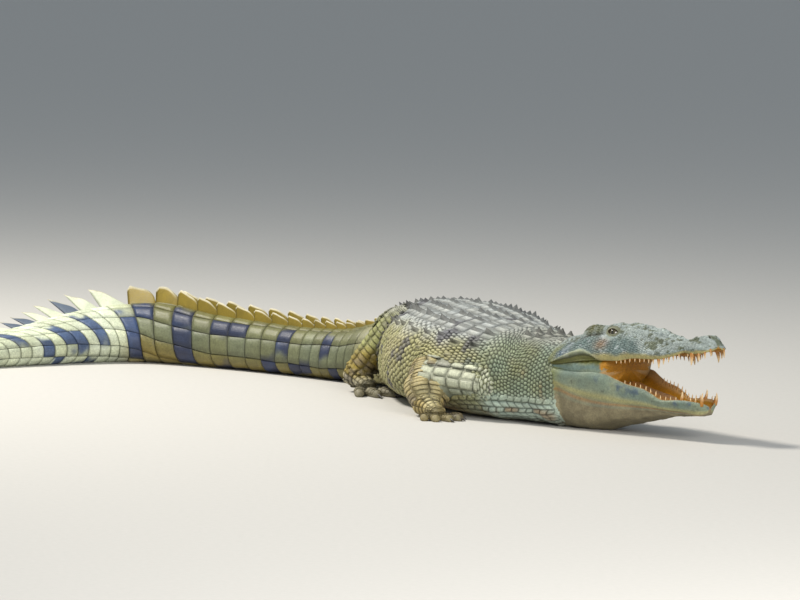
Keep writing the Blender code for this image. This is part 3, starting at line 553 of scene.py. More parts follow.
class Cranium(HeadPatch):
    """The upper jaw and the skull: u is the place ahead of the hinge, v the turn."""

    cage = staticmethod(cranium_cage)
    reach = CRANIUM[-1][0]
    pitch = CRANIUM_PITCH

    def __init__(self):
        super().__init__("cranium", -1.0, (0.01, 0.30), (0.42, 0.05))

    def bears(self, u, v):
        """Scales keep clear of the eyes, the nostrils and the fold behind the mouth."""
        p = self.local(u, v)
        eye = np.hypot((p[:, 0] - EYE[0]) / 1.35, p[:, 2] - EYE[2]) > 0.0175
        eye |= np.abs(p[:, 1]) < EYE[1] - 0.022
        nose = np.hypot(p[:, 0] - NOSTRIL[0], np.abs(p[:, 1]) - NOSTRIL[1]) > 0.009
        return eye & nose & ((arch_share(p) > 1.5) | (p[:, 0] > 0.165))

    def relief(self, u, v, base):
        """Ridges and knobs of a skull under tight skin: table corners, brows, the snout's two
        ridges, the nostril mound, swellings over the tooth roots and a rough grain."""
        p = self.local(u, v)
        x, y = p[..., 0], p[..., 1]
        step = ring_step(v)
        outer = ramp(step, 3.4, 4.4)
        crown = ramp(step, 5.6, 6.8)
        shape = sum(bump(x, y, *mound) for mound in MOUNDS) * crown
        grain = noise(p, 0.0085, 5.0)
        coarse = noise(p, 0.021, 6.0)
        rough = ramp(x, 0.16, 0.24) * (1 - 0.6 * ramp(x, 0.43, 0.47)) + 0.35
        pit = noise(p, 0.0052, 7.0)
        knobs = sum(share * bell(x, at, width) for at, width, share in KNOBS)
        shape += 0.0032 * knobs * (bell(step, 4.75, 0.22) + 0.7 * bell(step, 5.35, 0.18))
        shape += outer * rough * (0.0028 * np.abs(grain) + 0.0026 * coarse - 0.0016 * np.abs(pit))
        shape += 0.0035 * tooth_roots(x, UPPER_TEETH) * bell(step, 4.1, 0.55)
        shape -= 0.0060 * ear_slit(x, step, 0.20)
        flap = ramp(x, 0.03, 0.06) * (1 - ramp(x, 0.15, 0.18))
        shape += 0.0025 * bell(step, 5.05 + 9.0 * (x - 0.10), 0.25) * flap
        share = arch_share(p)
        behind = (1 - ramp(x, 0.150, 0.168)) * ramp(step, 2.8, 3.2)
        shape += behind * (0.0030 * bell(share, 1.25, 0.22) - 0.0075 * (1 - ramp(share, 0.85, 1.1)))
        return shape * (1 - ramp(x, 0.482, 0.497))


class Jaw(HeadPatch):
    """The lower jaw and the throat: u is the place ahead of the hinge, v the turn."""

    cage = staticmethod(jaw_cage)
    reach = JAW[-1][0]
    pitch = JAW_PITCH

    def __init__(self):
        super().__init__("jaw", 1.0, (0.25, 0.30), (0.42, 0.05))

    def relief(self, u, v, base):
        """Swellings over the tooth roots, shallow pits, and fine wrinkles along the throat."""
        p = self.local(u, v)
        x = p[..., 0]
        step = ring_step(v)
        shape = 0.003 * tooth_roots(x, LOWER_TEETH) * bell(step, 3.9, 0.5)
        shape += 0.0012 * noise(p, 0.022, 8.0) * ramp(step, 3.4, 4.2)
        under = ramp(step, 5.9, 6.4) * ramp(x, 0.02, 0.06)
        wander = noise(p * np.array([0.35, 1.0, 1.0]), 0.012, 9.0)
        shape += 0.0016 * under * (np.sin(step * 34.0 + 2.2 * wander) - 0.3)
        shape -= 0.003 * bell(step, 5.95, 0.14) * ramp(x, 0.05, 0.12) * (1 - ramp(x, 0.40, 0.45))
        return shape * (1 - ramp(x, 0.452, 0.474))


class Cheek(HeadPatch):
    """The block between the jaws behind the corners of the mouth: a squared section, flush with
    both jaws, that grows taller with the gape."""

    def __init__(self):
        super().__init__("cheek", 1.0, (0.25, 0.64), (0.42, 0.02))

    def base(self, u, v):
        """A rounded box: as wide as the jaws, a little inside the upper one, and as tall as the
        gape at that place."""
        share = 0.5 + 0.5 * np.cos(v)
        half = column(CRANIUM, u, 1) * share + column(JAW, u, 1) * (1 - share)
        half = half - 0.0015 - 0.013 * ramp(np.cos(v), 0.02, 0.30) - 0.003 * ramp(u, 0.165, MOUTH_CORNER)
        tall = np.maximum(u, 0.0) * np.tan(np.radians(HALF_GAPE)) + 0.020
        left = -half * signed_power(np.sin(v), 0.4)
        up = tall * signed_power(np.cos(v), 0.4)
        return head_to_world(np.stack([u, left, up], axis=-1), MOUTH_PITCH)

    def relief(self, u, v, base):
        """Soft lumps, and folds across the skin behind the mouth."""
        wander = noise(base, 0.02, 17.0)
        return 0.0012 * wander + 0.0008 * np.sin(u * 420.0 + 2.0 * np.cos(v)) * ramp(u, 0.05, 0.10) + 0.002


class Segment(Patch):
    """A tapered round-ended limb segment: radii at its start, middle and end."""

    steps = (0.01, 0.01)

    def __init__(self, name, start, end, radii, flat, origin):
        self.start = np.asarray(start, float)
        self.length = float(np.linalg.norm(np.asarray(end) - self.start))
        super().__init__(name, -1.0, origin, (0.30 * self.length, 0.02))
        self.radii = radii
        self.flat = flat
        self.axis = (np.asarray(end) - self.start) / self.length
        side = np.cross(self.axis, (0.0, 0.0, 1.0))
        self.side = side / np.linalg.norm(side)
        self.top = np.cross(self.side, self.axis)

    def base(self, u, v):
        """u runs from 0 to 1 along the axis, and one unit more over the round cap at each end."""
        low = np.clip(-u, 0.0, 1.0)
        high = np.clip(u - 1.0, 0.0, 1.0)
        along = np.clip(u, 0.0, 1.0) * self.length - low * self.radii[0] + high * self.radii[2]
        radius = ease(np.clip(u, 0.0, 1.0), (0.0, 0.45, 1.0), self.radii)
        radius = radius * np.sqrt(np.clip(1.0 - (low + high) ** 2, 0.0, 1.0))
        ring = np.cos(v)[..., None] * self.top * self.flat + np.sin(v)[..., None] * self.side
        points = self.start + along[..., None] * self.axis + radius[..., None] * ring
        points[..., 2] = np.maximum(points[..., 2], 0.0)
        return points

    def relief(self, u, v, base):
        """Slack folds across the segment near its ends."""
        wave = np.sin(u * self.length * 330.0 + 1.5 * np.sin(v + self.length * 60.0))
        return 0.0012 * wave * (1 - bell(u, 0.5, 0.28))


class Toe(Patch):
    """A digit lying on the floor: its girth swells at the knuckles and rounds off at the tip."""

    steps = (0.01, 0.01)

    def __init__(self, name, root, way, length, radius, origin):
        super().__init__(name, -1.0, origin, (0.30 * length, 0.012))
        self.root = np.array([root[0], root[1], 0.0])
        self.way = way
        self.length = length
        self.radius = radius
        self.cross = np.array([-way[1], way[0], 0.0])

    def size(self, u):
        """Share of the digit's radius at a place along it."""
        thick = ease(u, (-0.3, 0.0, 0.3, 0.55, 0.8, 1.0), (0.72, 1.0, 0.90, 0.94, 0.76, 0.70))
        round_off = np.sqrt(np.clip(1 - ((u - 0.95) / 0.13) ** 2, 0.0, 1.0))
        knuckle = 0.06 * (bell(u, 0.28, 0.06) + bell(u, 0.60, 0.06))
        return (thick + knuckle) * np.where(u > 0.95, round_off, 1.0)

    def base(self, u, v):
        """A flattened round section that rests on the floor, higher at the root."""
        size = self.radius * self.size(u)
        rise = self.radius * ease(u, (-0.3, 0.0, 0.5, 1.1), (0.5, 0.2, 0.0, 0.15))
        middle = self.root + (self.length * u)[..., None] * self.way
        points = middle + (size * np.sin(v))[..., None] * self.cross
        points[..., 2] += rise + 0.9 * size * (np.cos(v) + 0.86)
        points[..., 2] = np.maximum(points[..., 2], 0.0)
        return points


def limb_place(at, side, joint):
    """World place of a joint given ahead of, outwards from and above a place on the body path."""
    angle = float(heading(at))
    ahead, out, up = joint
    x = float(np.interp(at, PATH_AT, PATH_X)) + ahead * math.cos(angle) - side * out * math.sin(angle)
    y = float(np.interp(at, PATH_AT, PATH_Y)) - ahead * math.sin(angle) - side * out * math.cos(angle)
    return np.array([x, y, up])


def limb_patches(kind, at, side, joints, radii, digits, origin):
    """The three segments and the digits of a limb."""
    a, b, c, d = (limb_place(at, side, joint) for joint in joints)
    ends = ((a, b, 0.86), (b, c, 0.86), (c, c + 0.72 * (d - c), 0.8))
    names = ("upper", "lower", "palm")
    segments = [
        Segment(f"{kind}_{name}", first, last, size, flat, (origin[0] + 0.08 * i, origin[1]))
        for i, (name, (first, last, flat), size) in enumerate(zip(names, ends, radii))
    ]
    angle = float(heading(at))
    forward = np.array([math.cos(angle), -math.sin(angle), 0.0])
    outward = side * np.array([-math.sin(angle), -math.cos(angle), 0.0])
    toes = []
    for i, (turn, length) in enumerate(zip(digits["spread"], digits["lengths"])):
        way = math.cos(math.radians(turn)) * forward + math.sin(math.radians(turn)) * outward
        root = d + 0.4 * (c - d) + 0.02 * math.sin(math.radians(turn)) * outward
        place = (origin[0] + 0.26 + 0.042 * i, origin[1])
        toes.append(Toe(f"{kind}_toe_{i + 1}", root, way, length, digits["radius"], place))
    return segments, toes


# how deep the skin lies under the coat, set from the property group
SIZES = {"depth": 0.003}
BODY_PATCH = Body()
CRANIUM_PATCH = Cranium()
JAW_PATCH = Jaw()
CHEEK_PATCH = Cheek()
LIMBS = {
    "fore_right": limb_patches("fore", SHOULDER_AT, 1.0, FORELEG_RIGHT, FORELEG_RADII, HAND, (0.52, 0.32)),
    "fore_left": limb_patches("fore", SHOULDER_AT, -1.0, FORELEG_LEFT, FORELEG_RADII, HAND, (0.52, 0.50)),
    "hind_right": limb_patches("hind", HIP_AT, 1.0, HINDLEG_RIGHT, HINDLEG_RADII, FOOT, (0.52, 0.68)),
    "hind_left": limb_patches("hind", HIP_AT, -1.0, HINDLEG_LEFT, HINDLEG_RADII, FOOT, (0.52, 0.86)),
}


# ---------------------------------------------------------------- markings
# dark blotches of the tail's side: place inside their whorl, share from crest (0) to belly (1), half-height
BLOTCHES = (
    (1.300, 0.66, 0.09), (1.335, 0.40, 0.10), (1.420, 0.62, 0.09), (1.465, 0.64, 0.08), (1.515, 0.85, 0.08),
    (1.515, 0.40, 0.12), (1.570, 0.70, 0.16), (1.696, 0.28, 0.09), (1.696, 0.80, 0.08), (1.763, 0.32, 0.11),
    (1.763, 0.80, 0.09), (1.907, 0.56, 0.38), (2.040, 0.30, 0.12), (2.100, 0.62, 0.30), (2.250, 0.55, 0.24),
    (2.333, 0.76, 0.20), (2.375, 0.66, 0.24), (2.455, 0.84, 0.14), (2.530, 0.50, 0.26),
    (2.610, 0.40, 0.26), (2.680, 0.66, 0.26), (2.750, 0.40, 0.30), (2.818, 0.50, 0.36), (2.884, 0.50, 0.50),
    (2.950, 0.50, 0.60),
)
# rear ends of the whorls whose fin is dark
DARK_FINS = (2.228, 2.354, 2.395, 2.552, 2.768)
NAVY = (0.014, 0.022, 0.066)
OLIVE = (0.130, 0.122, 0.036)
SAGE = (0.145, 0.168, 0.108)
OCHRE = (0.225, 0.170, 0.042)
# CREAM: the tail's pale end, partly painted sunlight
CREAM = (0.640, 0.690, 0.560)
STONE = (0.390, 0.420, 0.415)
PEBBLE = (0.420, 0.380, 0.200)
BELLY = (0.600, 0.570, 0.380)
TEAL = (0.185, 0.260, 0.200)
RUST = (0.330, 0.150, 0.040)
TAN = (0.400, 0.300, 0.100)
PALE = (0.500, 0.520, 0.380)
# HEAD_TOP lighter and HEAD_SIDE darker and bluer: partly painted sunlight on the crown and painted skylit
# shade on the side
HEAD_TOP = (0.325, 0.372, 0.352)
HEAD_SIDE = (0.125, 0.175, 0.165)
LIP = (0.330, 0.290, 0.120)
JAW_SKIN = (0.142, 0.204, 0.172)
JAW_BLUE = (0.060, 0.100, 0.150)
THROAT = (0.180, 0.150, 0.088)
MOUTH = (0.440, 0.200, 0.012)
# orange of the mouth in painted shade, deep in the throat and under the tongue
MOUTH_SHADE = (0.230, 0.085, 0.020)
GUMS = (0.520, 0.330, 0.140)
GREEN_FOLD = (0.120, 0.120, 0.028)


def whorl_places():
    """Where each ring of tail scales begins: each ring is as long as the table says at its front."""
    places = [PELVIS_END - 0.06]
    while places[-1] < TIP_AT - 0.05:
        places.append(places[-1] + float(ease(places[-1], WHORL_AT, WHORL_LENGTH)))
    return np.array(places)


WHORLS = whorl_places()


def whorl_slant(u, v):
    """How far a whorl line runs forward between the crest and this share of the girth."""
    return ease(u, SLANT_AT, SLANT) * (1 - np.cos(2 * np.pi * v)) / 2


def shank_fold(base):
    """Share of shadow in the fold between the flank and the raised right shank."""
    shank = LIMBS["hind_right"][0][1]
    u, v = np.meshgrid(np.linspace(0.0, 1.0, 9), np.linspace(0, 2 * np.pi, 9)[:-1], indexing="ij")
    ring = shank.base(u, v)
    axis = ring.mean(axis=1)
    radius = np.linalg.norm(ring - axis[:, None], axis=-1).mean(axis=1)
    gap = (np.linalg.norm(base[:, None, :] - axis[None], axis=-1) - radius[None]).min(axis=1)
    return 1 - ramp(gap, 0.004, 0.022)


def body_markings(patch, u, v, base):
    """Colours of neck, trunk and tail by place and share of girth, with blotches and stains, painted shadow
    in the fold by the raised right shank, and a paler tail end that is partly painted sunlight.
    """
    side = from_crest(v)
    wander = noise(base, 0.05, 11.0)
    fine = noise(base, 0.013, 12.0)
    back = mix(STONE, (0.470, 0.480, 0.440), 0.5 + 0.5 * fine)
    flank = mix(PEBBLE, (0.330, 0.325, 0.140), 0.5 + 0.5 * wander)
    rusty = bell(u, 0.40, 0.07) * bell(side, 0.74, 0.09)
    trunk = layered(
        back,
        (flank, ramp(side + 0.03 * wander, 0.27, 0.40)),
        ((0.075, 0.070, 0.095), 0.75 * ramp(noise(base, 0.045, 13.0) + 0.3 * fine, 0.42, 0.62)),
        (BELLY, ramp(side, 0.70, 0.80)),
        ((0.260, 0.130, 0.035), 0.85 * rusty * (0.8 + 0.2 * fine)),
        ((0.330, 0.270, 0.050), 0.7 * ramp(u + 0.04 * fine, 1.02, 1.07) * (1 - ramp(side, 0.25, 0.40))),
        ((0.030, 0.028, 0.018), 0.85 * shank_fold(base)),
    )
    neck = layered(
        TEAL,
        ((0.230, 0.240, 0.120), 0.5 + 0.5 * wander),
        ((0.420, 0.510, 0.430), ramp(side, 0.52, 0.66)),
        (RUST, 0.55 * ramp(noise(base, 0.035, 14.0), 0.30, 0.75) * ramp(side, 0.3, 0.55)),
        ((0.340, 0.350, 0.300), 1 - ramp(side, 0.10, 0.30)),
        (THROAT, 0.7 * ramp(side, 0.74, 0.86)),
    )
    trunk = mix(neck, trunk, ramp(u + 0.03 * wander, 0.20, 0.34))
    tail = layered(
        OLIVE,
        (SAGE, bell(side, 0.45, 0.17) * (0.7 + 0.3 * wander)),
        (OCHRE, ramp(side, 0.60, 0.80)),
        (STONE, 1 - ramp(side, 0.02, 0.08)),
        ((0.420, 0.360, 0.150), ramp(side, 0.84, 0.94)),
        # the tail paler from u 2.04 on, where it turns its side to the light: partly painted sunlight
        (mix(CREAM, (0.520, 0.560, 0.360), 0.5 + 0.5 * wander), ramp(u, 2.04, 2.13)),
    )
    colour = mix(trunk, tail, ramp(u + 0.02 * wander, 1.10, 1.24))
    dark = np.zeros(side.shape)
    whorl = np.searchsorted(WHORLS, u + whorl_slant(u, v) + np.where(np.mod(v, 1.0) > 0.5, 0.05, 0.0))
    for at, level, high in BLOTCHES:
        edge = np.abs(side - level) / high + 0.35 * fine + 0.2 * wander
        edge = edge + 9.0 * (whorl != np.searchsorted(WHORLS, at))
        dark = np.maximum(dark, 1 - ramp(edge, 0.75, 1.15))
    blue = mix(NAVY, (0.020, 0.050, 0.150), ramp(u, 2.0, 2.1) + 0.35 * ramp(fine, 0.0, 0.6))
    return mix(colour, blue, 0.92 * dark)


def skull_markings(patch, u, v, base):
    """Upper jaw: grey-green above, bluer and darker on the side, the contrast partly painted sunlight on the
    crown and painted shade on the side; a yellow lip, orange palate and gums; painted shade in the ear's slit
    and under the cheek's arch.
    """
    p = patch.local(u, v)
    x = p[:, 0]
    step = ring_step(v)
    wander = noise(p, 0.030, 21.0)
    fine = noise(p, 0.009, 22.0)
    top = mix(HEAD_TOP, (0.130, 0.150, 0.100), ramp(fine + 0.4 * wander, 0.05, 0.6))
    share = arch_share(p)
    rear = 1 - ramp(x + 0.01 * wander, 0.015, 0.050)
    behind = 1 - ramp(x, 0.150, 0.172)
    colour = layered(
        # the head's side colour, partly painted skylit shade
        HEAD_SIDE,
        ((0.075, 0.120, 0.165), ramp(wander, 0.0, 0.6)),
        ((0.300, 0.340, 0.350), 0.8 * ramp(-fine + 0.3 * wander, 0.25, 0.65)),
        # the crown's colour, partly painted sunlight
        (top, ramp(step + 0.25 * wander + 1.6 * ramp(x, 0.24, 0.30), 5.0, 6.4)),
        ((0.100, 0.095, 0.028), 0.8 * bump(x, p[:, 1], 0.112, 0.060, 0.016, 1.0, 0.022)),
        (LIP, (1 - ramp(step + 0.15 * fine, 3.7, 4.25)) * ramp(x, 0.10, 0.18)),
        ((0.200, 0.215, 0.085), 0.8 * rear * (1 - ramp(step, 5.2, 6.2))),
        (GREEN_FOLD, 0.95 * (1 - ramp(share, 0.9, 1.1)) * behind),
        # painted shadow under the cheek's arch
        ((0.035, 0.038, 0.012), 0.95 * bell(share, 0.84, 0.20) * behind),
        # painted highlight along the raised rim above the arch
        ((0.420, 0.430, 0.230), 0.6 * bell(share, 1.25, 0.2) * behind),
        (RUST, 0.5 * bell(x, 0.165, 0.018) * bell(step, 4.9, 0.5)),
    )
    inner = mix(MOUTH, GUMS, ramp(step, 1.9, 2.7))
    outside = behind + ramp(x, 0.488, 0.494)
    colour = mix(inner, colour, ramp(step + 0.9 * outside, 2.75, 3.15))
    # near black along the ear's slit: painted shade
    return mix(colour, (0.030, 0.030, 0.020), 0.9 * ear_slit(x, step, 0.13))


def jaw_markings(patch, u, v, base):
    """Lower jaw: smooth grey-green with blue patches by the lip, a yellow lower band, a rusty
    line and a brown wrinkled throat; orange floor and paler gums inside."""
    p = patch.local(u, v)
    x = p[:, 0]
    step = ring_step(v)
    wander = noise(p, 0.030, 31.0)
    fine = noise(p, 0.008, 32.0)
    blue = ramp(noise(p, 0.020, 33.0) + 0.5 * fine, 0.0, 0.7) * bell(step, 4.2, 0.7) * ramp(x, 0.12, 0.20)
    throat = mix(THROAT, (0.265, 0.232, 0.138), 0.5 + 0.5 * noise(p, 0.012, 34.0))
    colour = layered(
        JAW_SKIN,
        ((0.215, 0.245, 0.160), 0.5 + 0.5 * wander),
        ((0.200, 0.225, 0.085), 0.8 * (1 - ramp(x + 0.01 * wander, 0.020, 0.055))),
        (JAW_BLUE, 0.85 * blue),
        ((0.330, 0.300, 0.120), 0.8 * bell(step, 5.55, 0.32)),
        (RUST, 0.7 * bell(step, 5.97, 0.10)),
        (throat, ramp(step, 6.0, 6.3)),
        ((0.060, 0.070, 0.050), 0.7 * ramp(fine + 0.4 * wander, 0.72, 0.9) * bell(step, 4.9, 0.6)),
    )
    # darker towards the floor's middle, under the tongue: painted shade
    inner = mix(mix(MOUTH_SHADE, MOUTH, ramp(step, 0.0, 1.0)), GUMS, ramp(step + 0.2 * wander, 1.6, 2.4))
    outside = 1 - ramp(x, 0.150, 0.172) + ramp(x, 0.464, 0.470)
    return mix(inner, colour, ramp(step + 0.5 * outside, 2.9, 3.4))


def cheek_markings(patch, u, v, base):
    """Behind the mouth: olive under the skull's edge, the jaw's own colours below, and the
    orange of the mouth on the front face."""
    wander = noise(base, 0.020, 18.0)
    fine = noise(base, 0.007, 19.0)
    return layered(
        JAW_SKIN,
        (JAW_BLUE, ramp(0.6 * wander + 0.5 * fine, 0.0, 0.6) * ramp(u, 0.09, 0.16)),
        ((0.180, 0.180, 0.050), ramp(np.cos(v) + 0.08 * wander, 0.0, 0.15)),
        (MOUTH, ramp(u, 0.1620, 0.1690)),
    )


def limb_markings(patch, u, v, base):
    """Limbs: pale scales on the upper arm, tan and ochre bands below, dusky patches behind."""
    wander = noise(base, 0.035, 41.0)
    fine = noise(base, 0.012, 42.0)
    if patch.name == "fore_upper":
        colour = mix(PALE, TEAL, 0.45 * ramp(base[:, 2], 0.11, 0.05))
    elif patch.name.startswith("fore"):
        colour = mix(TAN, (0.470, 0.420, 0.230), 0.5 + 0.5 * wander)
    else:
        high = base[:, 2] + 0.012 * wander
        colour = layered(
            (0.275, 0.205, 0.036),
            ((0.270, 0.275, 0.098), ramp(high, 0.09, 0.15)),
            ((0.385, 0.385, 0.300), ramp(high, 0.19, 0.235)),
            ((0.390, 0.350, 0.220), 1 - ramp(high, 0.035, 0.06)),
        )
    dusky = ramp(noise(base, 0.045, 43.0) + 0.35 * fine, 0.30, 0.60)
    return mix(colour, (0.110, 0.090, 0.110), 0.45 * dusky)


MARKINGS = {"body": body_markings, "cranium": skull_markings, "jaw": jaw_markings, "cheek": cheek_markings}


def markings(patch, u, v, base):
    """The animal's colours at places on any patch, as linear red, green and blue."""
    return MARKINGS.get(patch.name, limb_markings)(patch, u, v, base)


# ---------------------------------------------------------------- mesh helpers
# numbers of the skin's parts, which mark the seams between them; the legs' run on from theirs
PART = dict(
    body=0.0, cranium=1.0, jaw=2.0, cheek=3.0, legs=4.0,
    throat=40.0, lids=50.0, socket=51.0, slit=52.0, nostril=54.0,
)


def mesh_of(name, points, groups):
    """A mesh from an array of points and arrays of faces, each with one number of corners."""
    mesh = bpy.data.meshes.new(name)
    corners = np.concatenate([group.ravel() for group in groups]).astype(np.int32)
    sizes = np.concatenate([np.full(len(group), group.shape[1]) for group in groups])
    starts = np.concatenate([[0], np.cumsum(sizes)[:-1]]).astype(np.int32)
    mesh.vertices.add(len(points))
    mesh.vertices.foreach_set("co", np.ascontiguousarray(points, dtype=np.float32).ravel())
    mesh.loops.add(len(corners))
    mesh.loops.foreach_set("vertex_index", corners)
    mesh.polygons.add(len(sizes))
    mesh.polygons.foreach_set("loop_start", starts)
    mesh.update(calc_edges=True)
    mesh.polygons.foreach_set("use_smooth", np.ones(len(sizes), dtype=bool))
    return mesh


def corner_indices(mesh):
    """The point that each face corner uses."""
    index = np.empty(len(mesh.loops), dtype=np.int32)
    mesh.loops.foreach_get("vertex_index", index)
    return index


def vertex_places(mesh):
    """The mesh's points as rows."""
    flat = np.empty(len(mesh.vertices) * 3, dtype=np.float32)
    mesh.vertices.foreach_get("co", flat)
    return flat.reshape(-1, 3).astype(float)


def paint(mesh, name, colours, domain="CORNER"):
    """A colour attribute, with a row for each corner or each point."""
    layer = mesh.attributes.new(name, "FLOAT_COLOR", domain)
    full = np.ones((len(colours), 4), dtype=np.float32)
    full[:, :3] = colours
    layer.data.foreach_set("color", full.ravel())


def bake_map(mesh, places):
    """The UV map OFBake, from a place on the unwrap for each point."""
    layer = mesh.uv_layers.new(name="OFBake")
    layer.data.foreach_set("uv", places[corner_indices(mesh)].astype(np.float32).ravel())


def grid_quads(rows, columns, closed=True):
    """Faces between rows of points numbered row by row; closed rows join their ends."""
    i = np.arange(rows - 1)[:, None] * columns
    j = np.arange(columns if closed else columns - 1)[None, :]
    k = (j + 1) % columns
    return np.stack([i + j, i + columns + j, i + columns + k, i + k], axis=-1).reshape(-1, 4)


def repeated(faces, count, points, start=0):
    """The faces of one copy, for a number of copies that each have as many points."""
    offset = start + np.arange(count)[:, None, None] * points
    return (faces[None] + offset).reshape(-1, faces.shape[1])


def closed_loft(name, points, sign, tint, part):
    """A closed solid over rings of points (rows, columns, xyz), with a fan at each end.  Each
    corner keeps its colour and the number of the part that it belongs to."""
    rows, columns = points.shape[:2]
    quads = grid_quads(rows, columns)
    ring = np.arange(columns)
    after = (ring + 1) % columns
    first = np.full(columns, rows * columns)
    last = (rows - 1) * columns
    caps = np.concatenate([
        np.stack([first, ring, after], axis=-1),
        np.stack([first + 1, last + after, last + ring], axis=-1),
    ])
    if sign < 0:
        quads = quads[:, ::-1]
        caps = caps[:, ::-1]
    flat = np.concatenate([points.reshape(-1, 3), points[:1].mean(axis=1), points[-1:].mean(axis=1)])
    tints = np.concatenate([tint.reshape(-1, 3), tint[:1].mean(axis=1), tint[-1:].mean(axis=1)])
    mesh = mesh_of(name, flat, [quads, caps])
    paint(mesh, "tint", tints[corner_indices(mesh)])
    layer = mesh.attributes.new("part", "FLOAT", "CORNER")
    layer.data.foreach_set("value", np.full(len(mesh.loops), part, dtype=np.float32))
    return mesh


def patch_solid(patch, u, columns, part, turns=2 * np.pi):
    """A patch as a closed solid between its first and last rows, in the animal's markings."""
    v = np.arange(columns) * turns / columns
    rows = np.repeat(u, columns)
    across = np.tile(v, len(u))
    points = patch.place(rows, across)
    # the skin's tint darkened by painted shade where it only shows between scales
    tint = markings(patch, rows, across, points) * patch.painted_gap_shade(rows)[:, None]
    shape = (len(u), columns, 3)
    return closed_loft(patch.name, points.reshape(shape), patch.sign, tint.reshape(shape), part)


def wrap(name, mesh):
    """A mesh as an object of the scene, at the origin."""
    obj = bpy.data.objects.new(name, mesh)
    bpy.context.scene.collection.objects.link(obj)
    return obj


def combine(obj, mesh, operation):
    """One Boolean with a mesh that isn't kept afterwards."""
    tool = wrap("tool", mesh)
    modifier = obj.modifiers.new("combine", "BOOLEAN")
    modifier.solver = "MANIFOLD"
    modifier.operation = operation
    modifier.object = tool
    bpy.context.view_layer.update()
    graph = bpy.context.evaluated_depsgraph_get()
    result = bpy.data.meshes.new_from_object(obj.evaluated_get(graph))
    obj.modifiers.clear()
    old = obj.data
    obj.data = result
    bpy.data.meshes.remove(old)
    bpy.data.objects.remove(tool)
    bpy.data.meshes.remove(mesh)


def seam_weights(mesh, reach):
    """1 where two parts meet, fading along the edges over a reach."""
    corner = corner_indices(mesh)
    part = np.empty(len(corner), dtype=np.float32)
    mesh.attributes["part"].data.foreach_get("value", part)
    low = np.full(len(mesh.vertices), 1e9)
    high = np.full(len(mesh.vertices), -1e9)
    np.minimum.at(low, corner, part)
    np.maximum.at(high, corner, part)
    weight = (high - low > 0.01).astype(float)
    edges = np.empty(len(mesh.edges) * 2, dtype=np.int32)
    mesh.edges.foreach_get("vertices", edges)
    edges = edges.reshape(-1, 2)
    co = vertex_places(mesh)
    fall = np.linalg.norm(co[edges[:, 0]] - co[edges[:, 1]], axis=1) / reach
    for _ in range(30):
        np.maximum.at(weight, edges[:, 0], weight[edges[:, 1]] - fall)
        np.maximum.at(weight, edges[:, 1], weight[edges[:, 0]] - fall)
    return np.clip(weight, 0.0, 1.0), edges, co


def soften_seams(mesh, reach, rounds):
    """Relaxes the points near the seams towards the mean of their neighbours."""
    weight, edges, co = seam_weights(mesh, reach)
    weight = ramp(weight, 0.0, 1.0)[:, None]
    count = np.bincount(edges.ravel(), minlength=len(co)).astype(float)[:, None]
    for _ in range(rounds):
        total = np.zeros_like(co)
        np.add.at(total, edges[:, 0], co[edges[:, 1]])
        np.add.at(total, edges[:, 1], co[edges[:, 0]])
        co += 0.6 * weight * (total / np.maximum(count, 1) - co)
    co[:, 2] = np.maximum(co[:, 2], FLOOR_CLEAR)
    mesh.vertices.foreach_set("co", co.astype(np.float32).ravel())
    mesh.update()


# ---------------------------------------------------------------- scales
# the finished skin, as a tree for finding its nearest point
SKIN = {"tree": None}
# furthest that a scale is moved to stand on the skin, by the corners of its faces; one that is
# further off is left out
STRAY = {3: 0.014, 4: 0.013}
# half the size of a scale's island on the unwrap
ISLAND = 0.0015


def settle(roots):
    """For the roots of scales: which way and how far each must move to stand on the skin."""
    found = [SKIN["tree"].find_nearest(Vector(root)) for root in roots.tolist()]
    shift = np.array([list(hit[0]) for hit in found]) - roots
    away = np.linalg.norm(shift, axis=1)
    return shift, away


def scale_piece(name, patch_runs, material):
    """One piece from runs of scales.  A run is a patch with arrays (scales, points) of both
    parameters and the lift, its faces, its roots and a shade for each point."""
    points, groups, tints, places, start = [], [], [], [], 0
    for patch, u, v, lift, faces, root, shade, spread in patch_runs:
        roots = patch.place(root[:, 0], root[:, 1])
        shift, away = settle(roots)
        keep = (away < STRAY[faces.shape[1]]) & patch.bears(root[:, 0], root[:, 1])
        if not keep.any():
            continue
        u, v, lift, root, roots, shift, shade = (a[keep] for a in (u, v, lift, root, roots, shift, shade))
        made = patch.place(u.ravel(), v.ravel(), lift.ravel()) + np.repeat(shift, u.shape[1], axis=0)
        made[:, 2] = np.maximum(made[:, 2], FLOOR_CLEAR)
        near = [0.5 * (a + root[:, i:i + 1]).ravel() for i, a in enumerate((u, v))]
        at = 0.5 * (made + np.repeat(roots, u.shape[1], axis=0))
        colour = markings(patch, near[0], near[1], at).reshape(*u.shape, 3)
        vary = 1.0 + 0.22 * (hashed(np.round(roots * 1e4), 2.0)[:, None, None] - 0.5)
        # shade: painted shade at each scale's rim and edge, times the keels' darker tone
        tints.append(colour * vary * shade[..., None])
        groups.append(repeated(faces, *u.shape, start))
        home = patch.unwrap(root[:, 0], root[:, 1])
        places.append(home[:, None, :] + ISLAND * spread[None])
        points.append(made)
        start += len(made)
    mesh = mesh_of(name, np.concatenate(points), groups)
    paint(mesh, "tint", np.clip(np.concatenate([t.reshape(-1, 3) for t in tints]), 0.0, 1.0), "POINT")
    bake_map(mesh, np.concatenate([p.reshape(-1, 2) for p in places]))
    obj = wrap(name, mesh)
    mesh.materials.append(material)
    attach(obj, "root")
    return obj


def fan_faces(rings, around):
    """Triangles of a dome: rings of points from the outside in, then one in the middle."""
    quads = grid_quads(rings, around)
    last = (rings - 1) * around + np.arange(around)
    top = np.stack([last, np.roll(last, -1), np.full(around, rings * around)], -1)
    return np.concatenate([quads[:, [0, 3, 2]], quads[:, [0, 2, 1]], top])


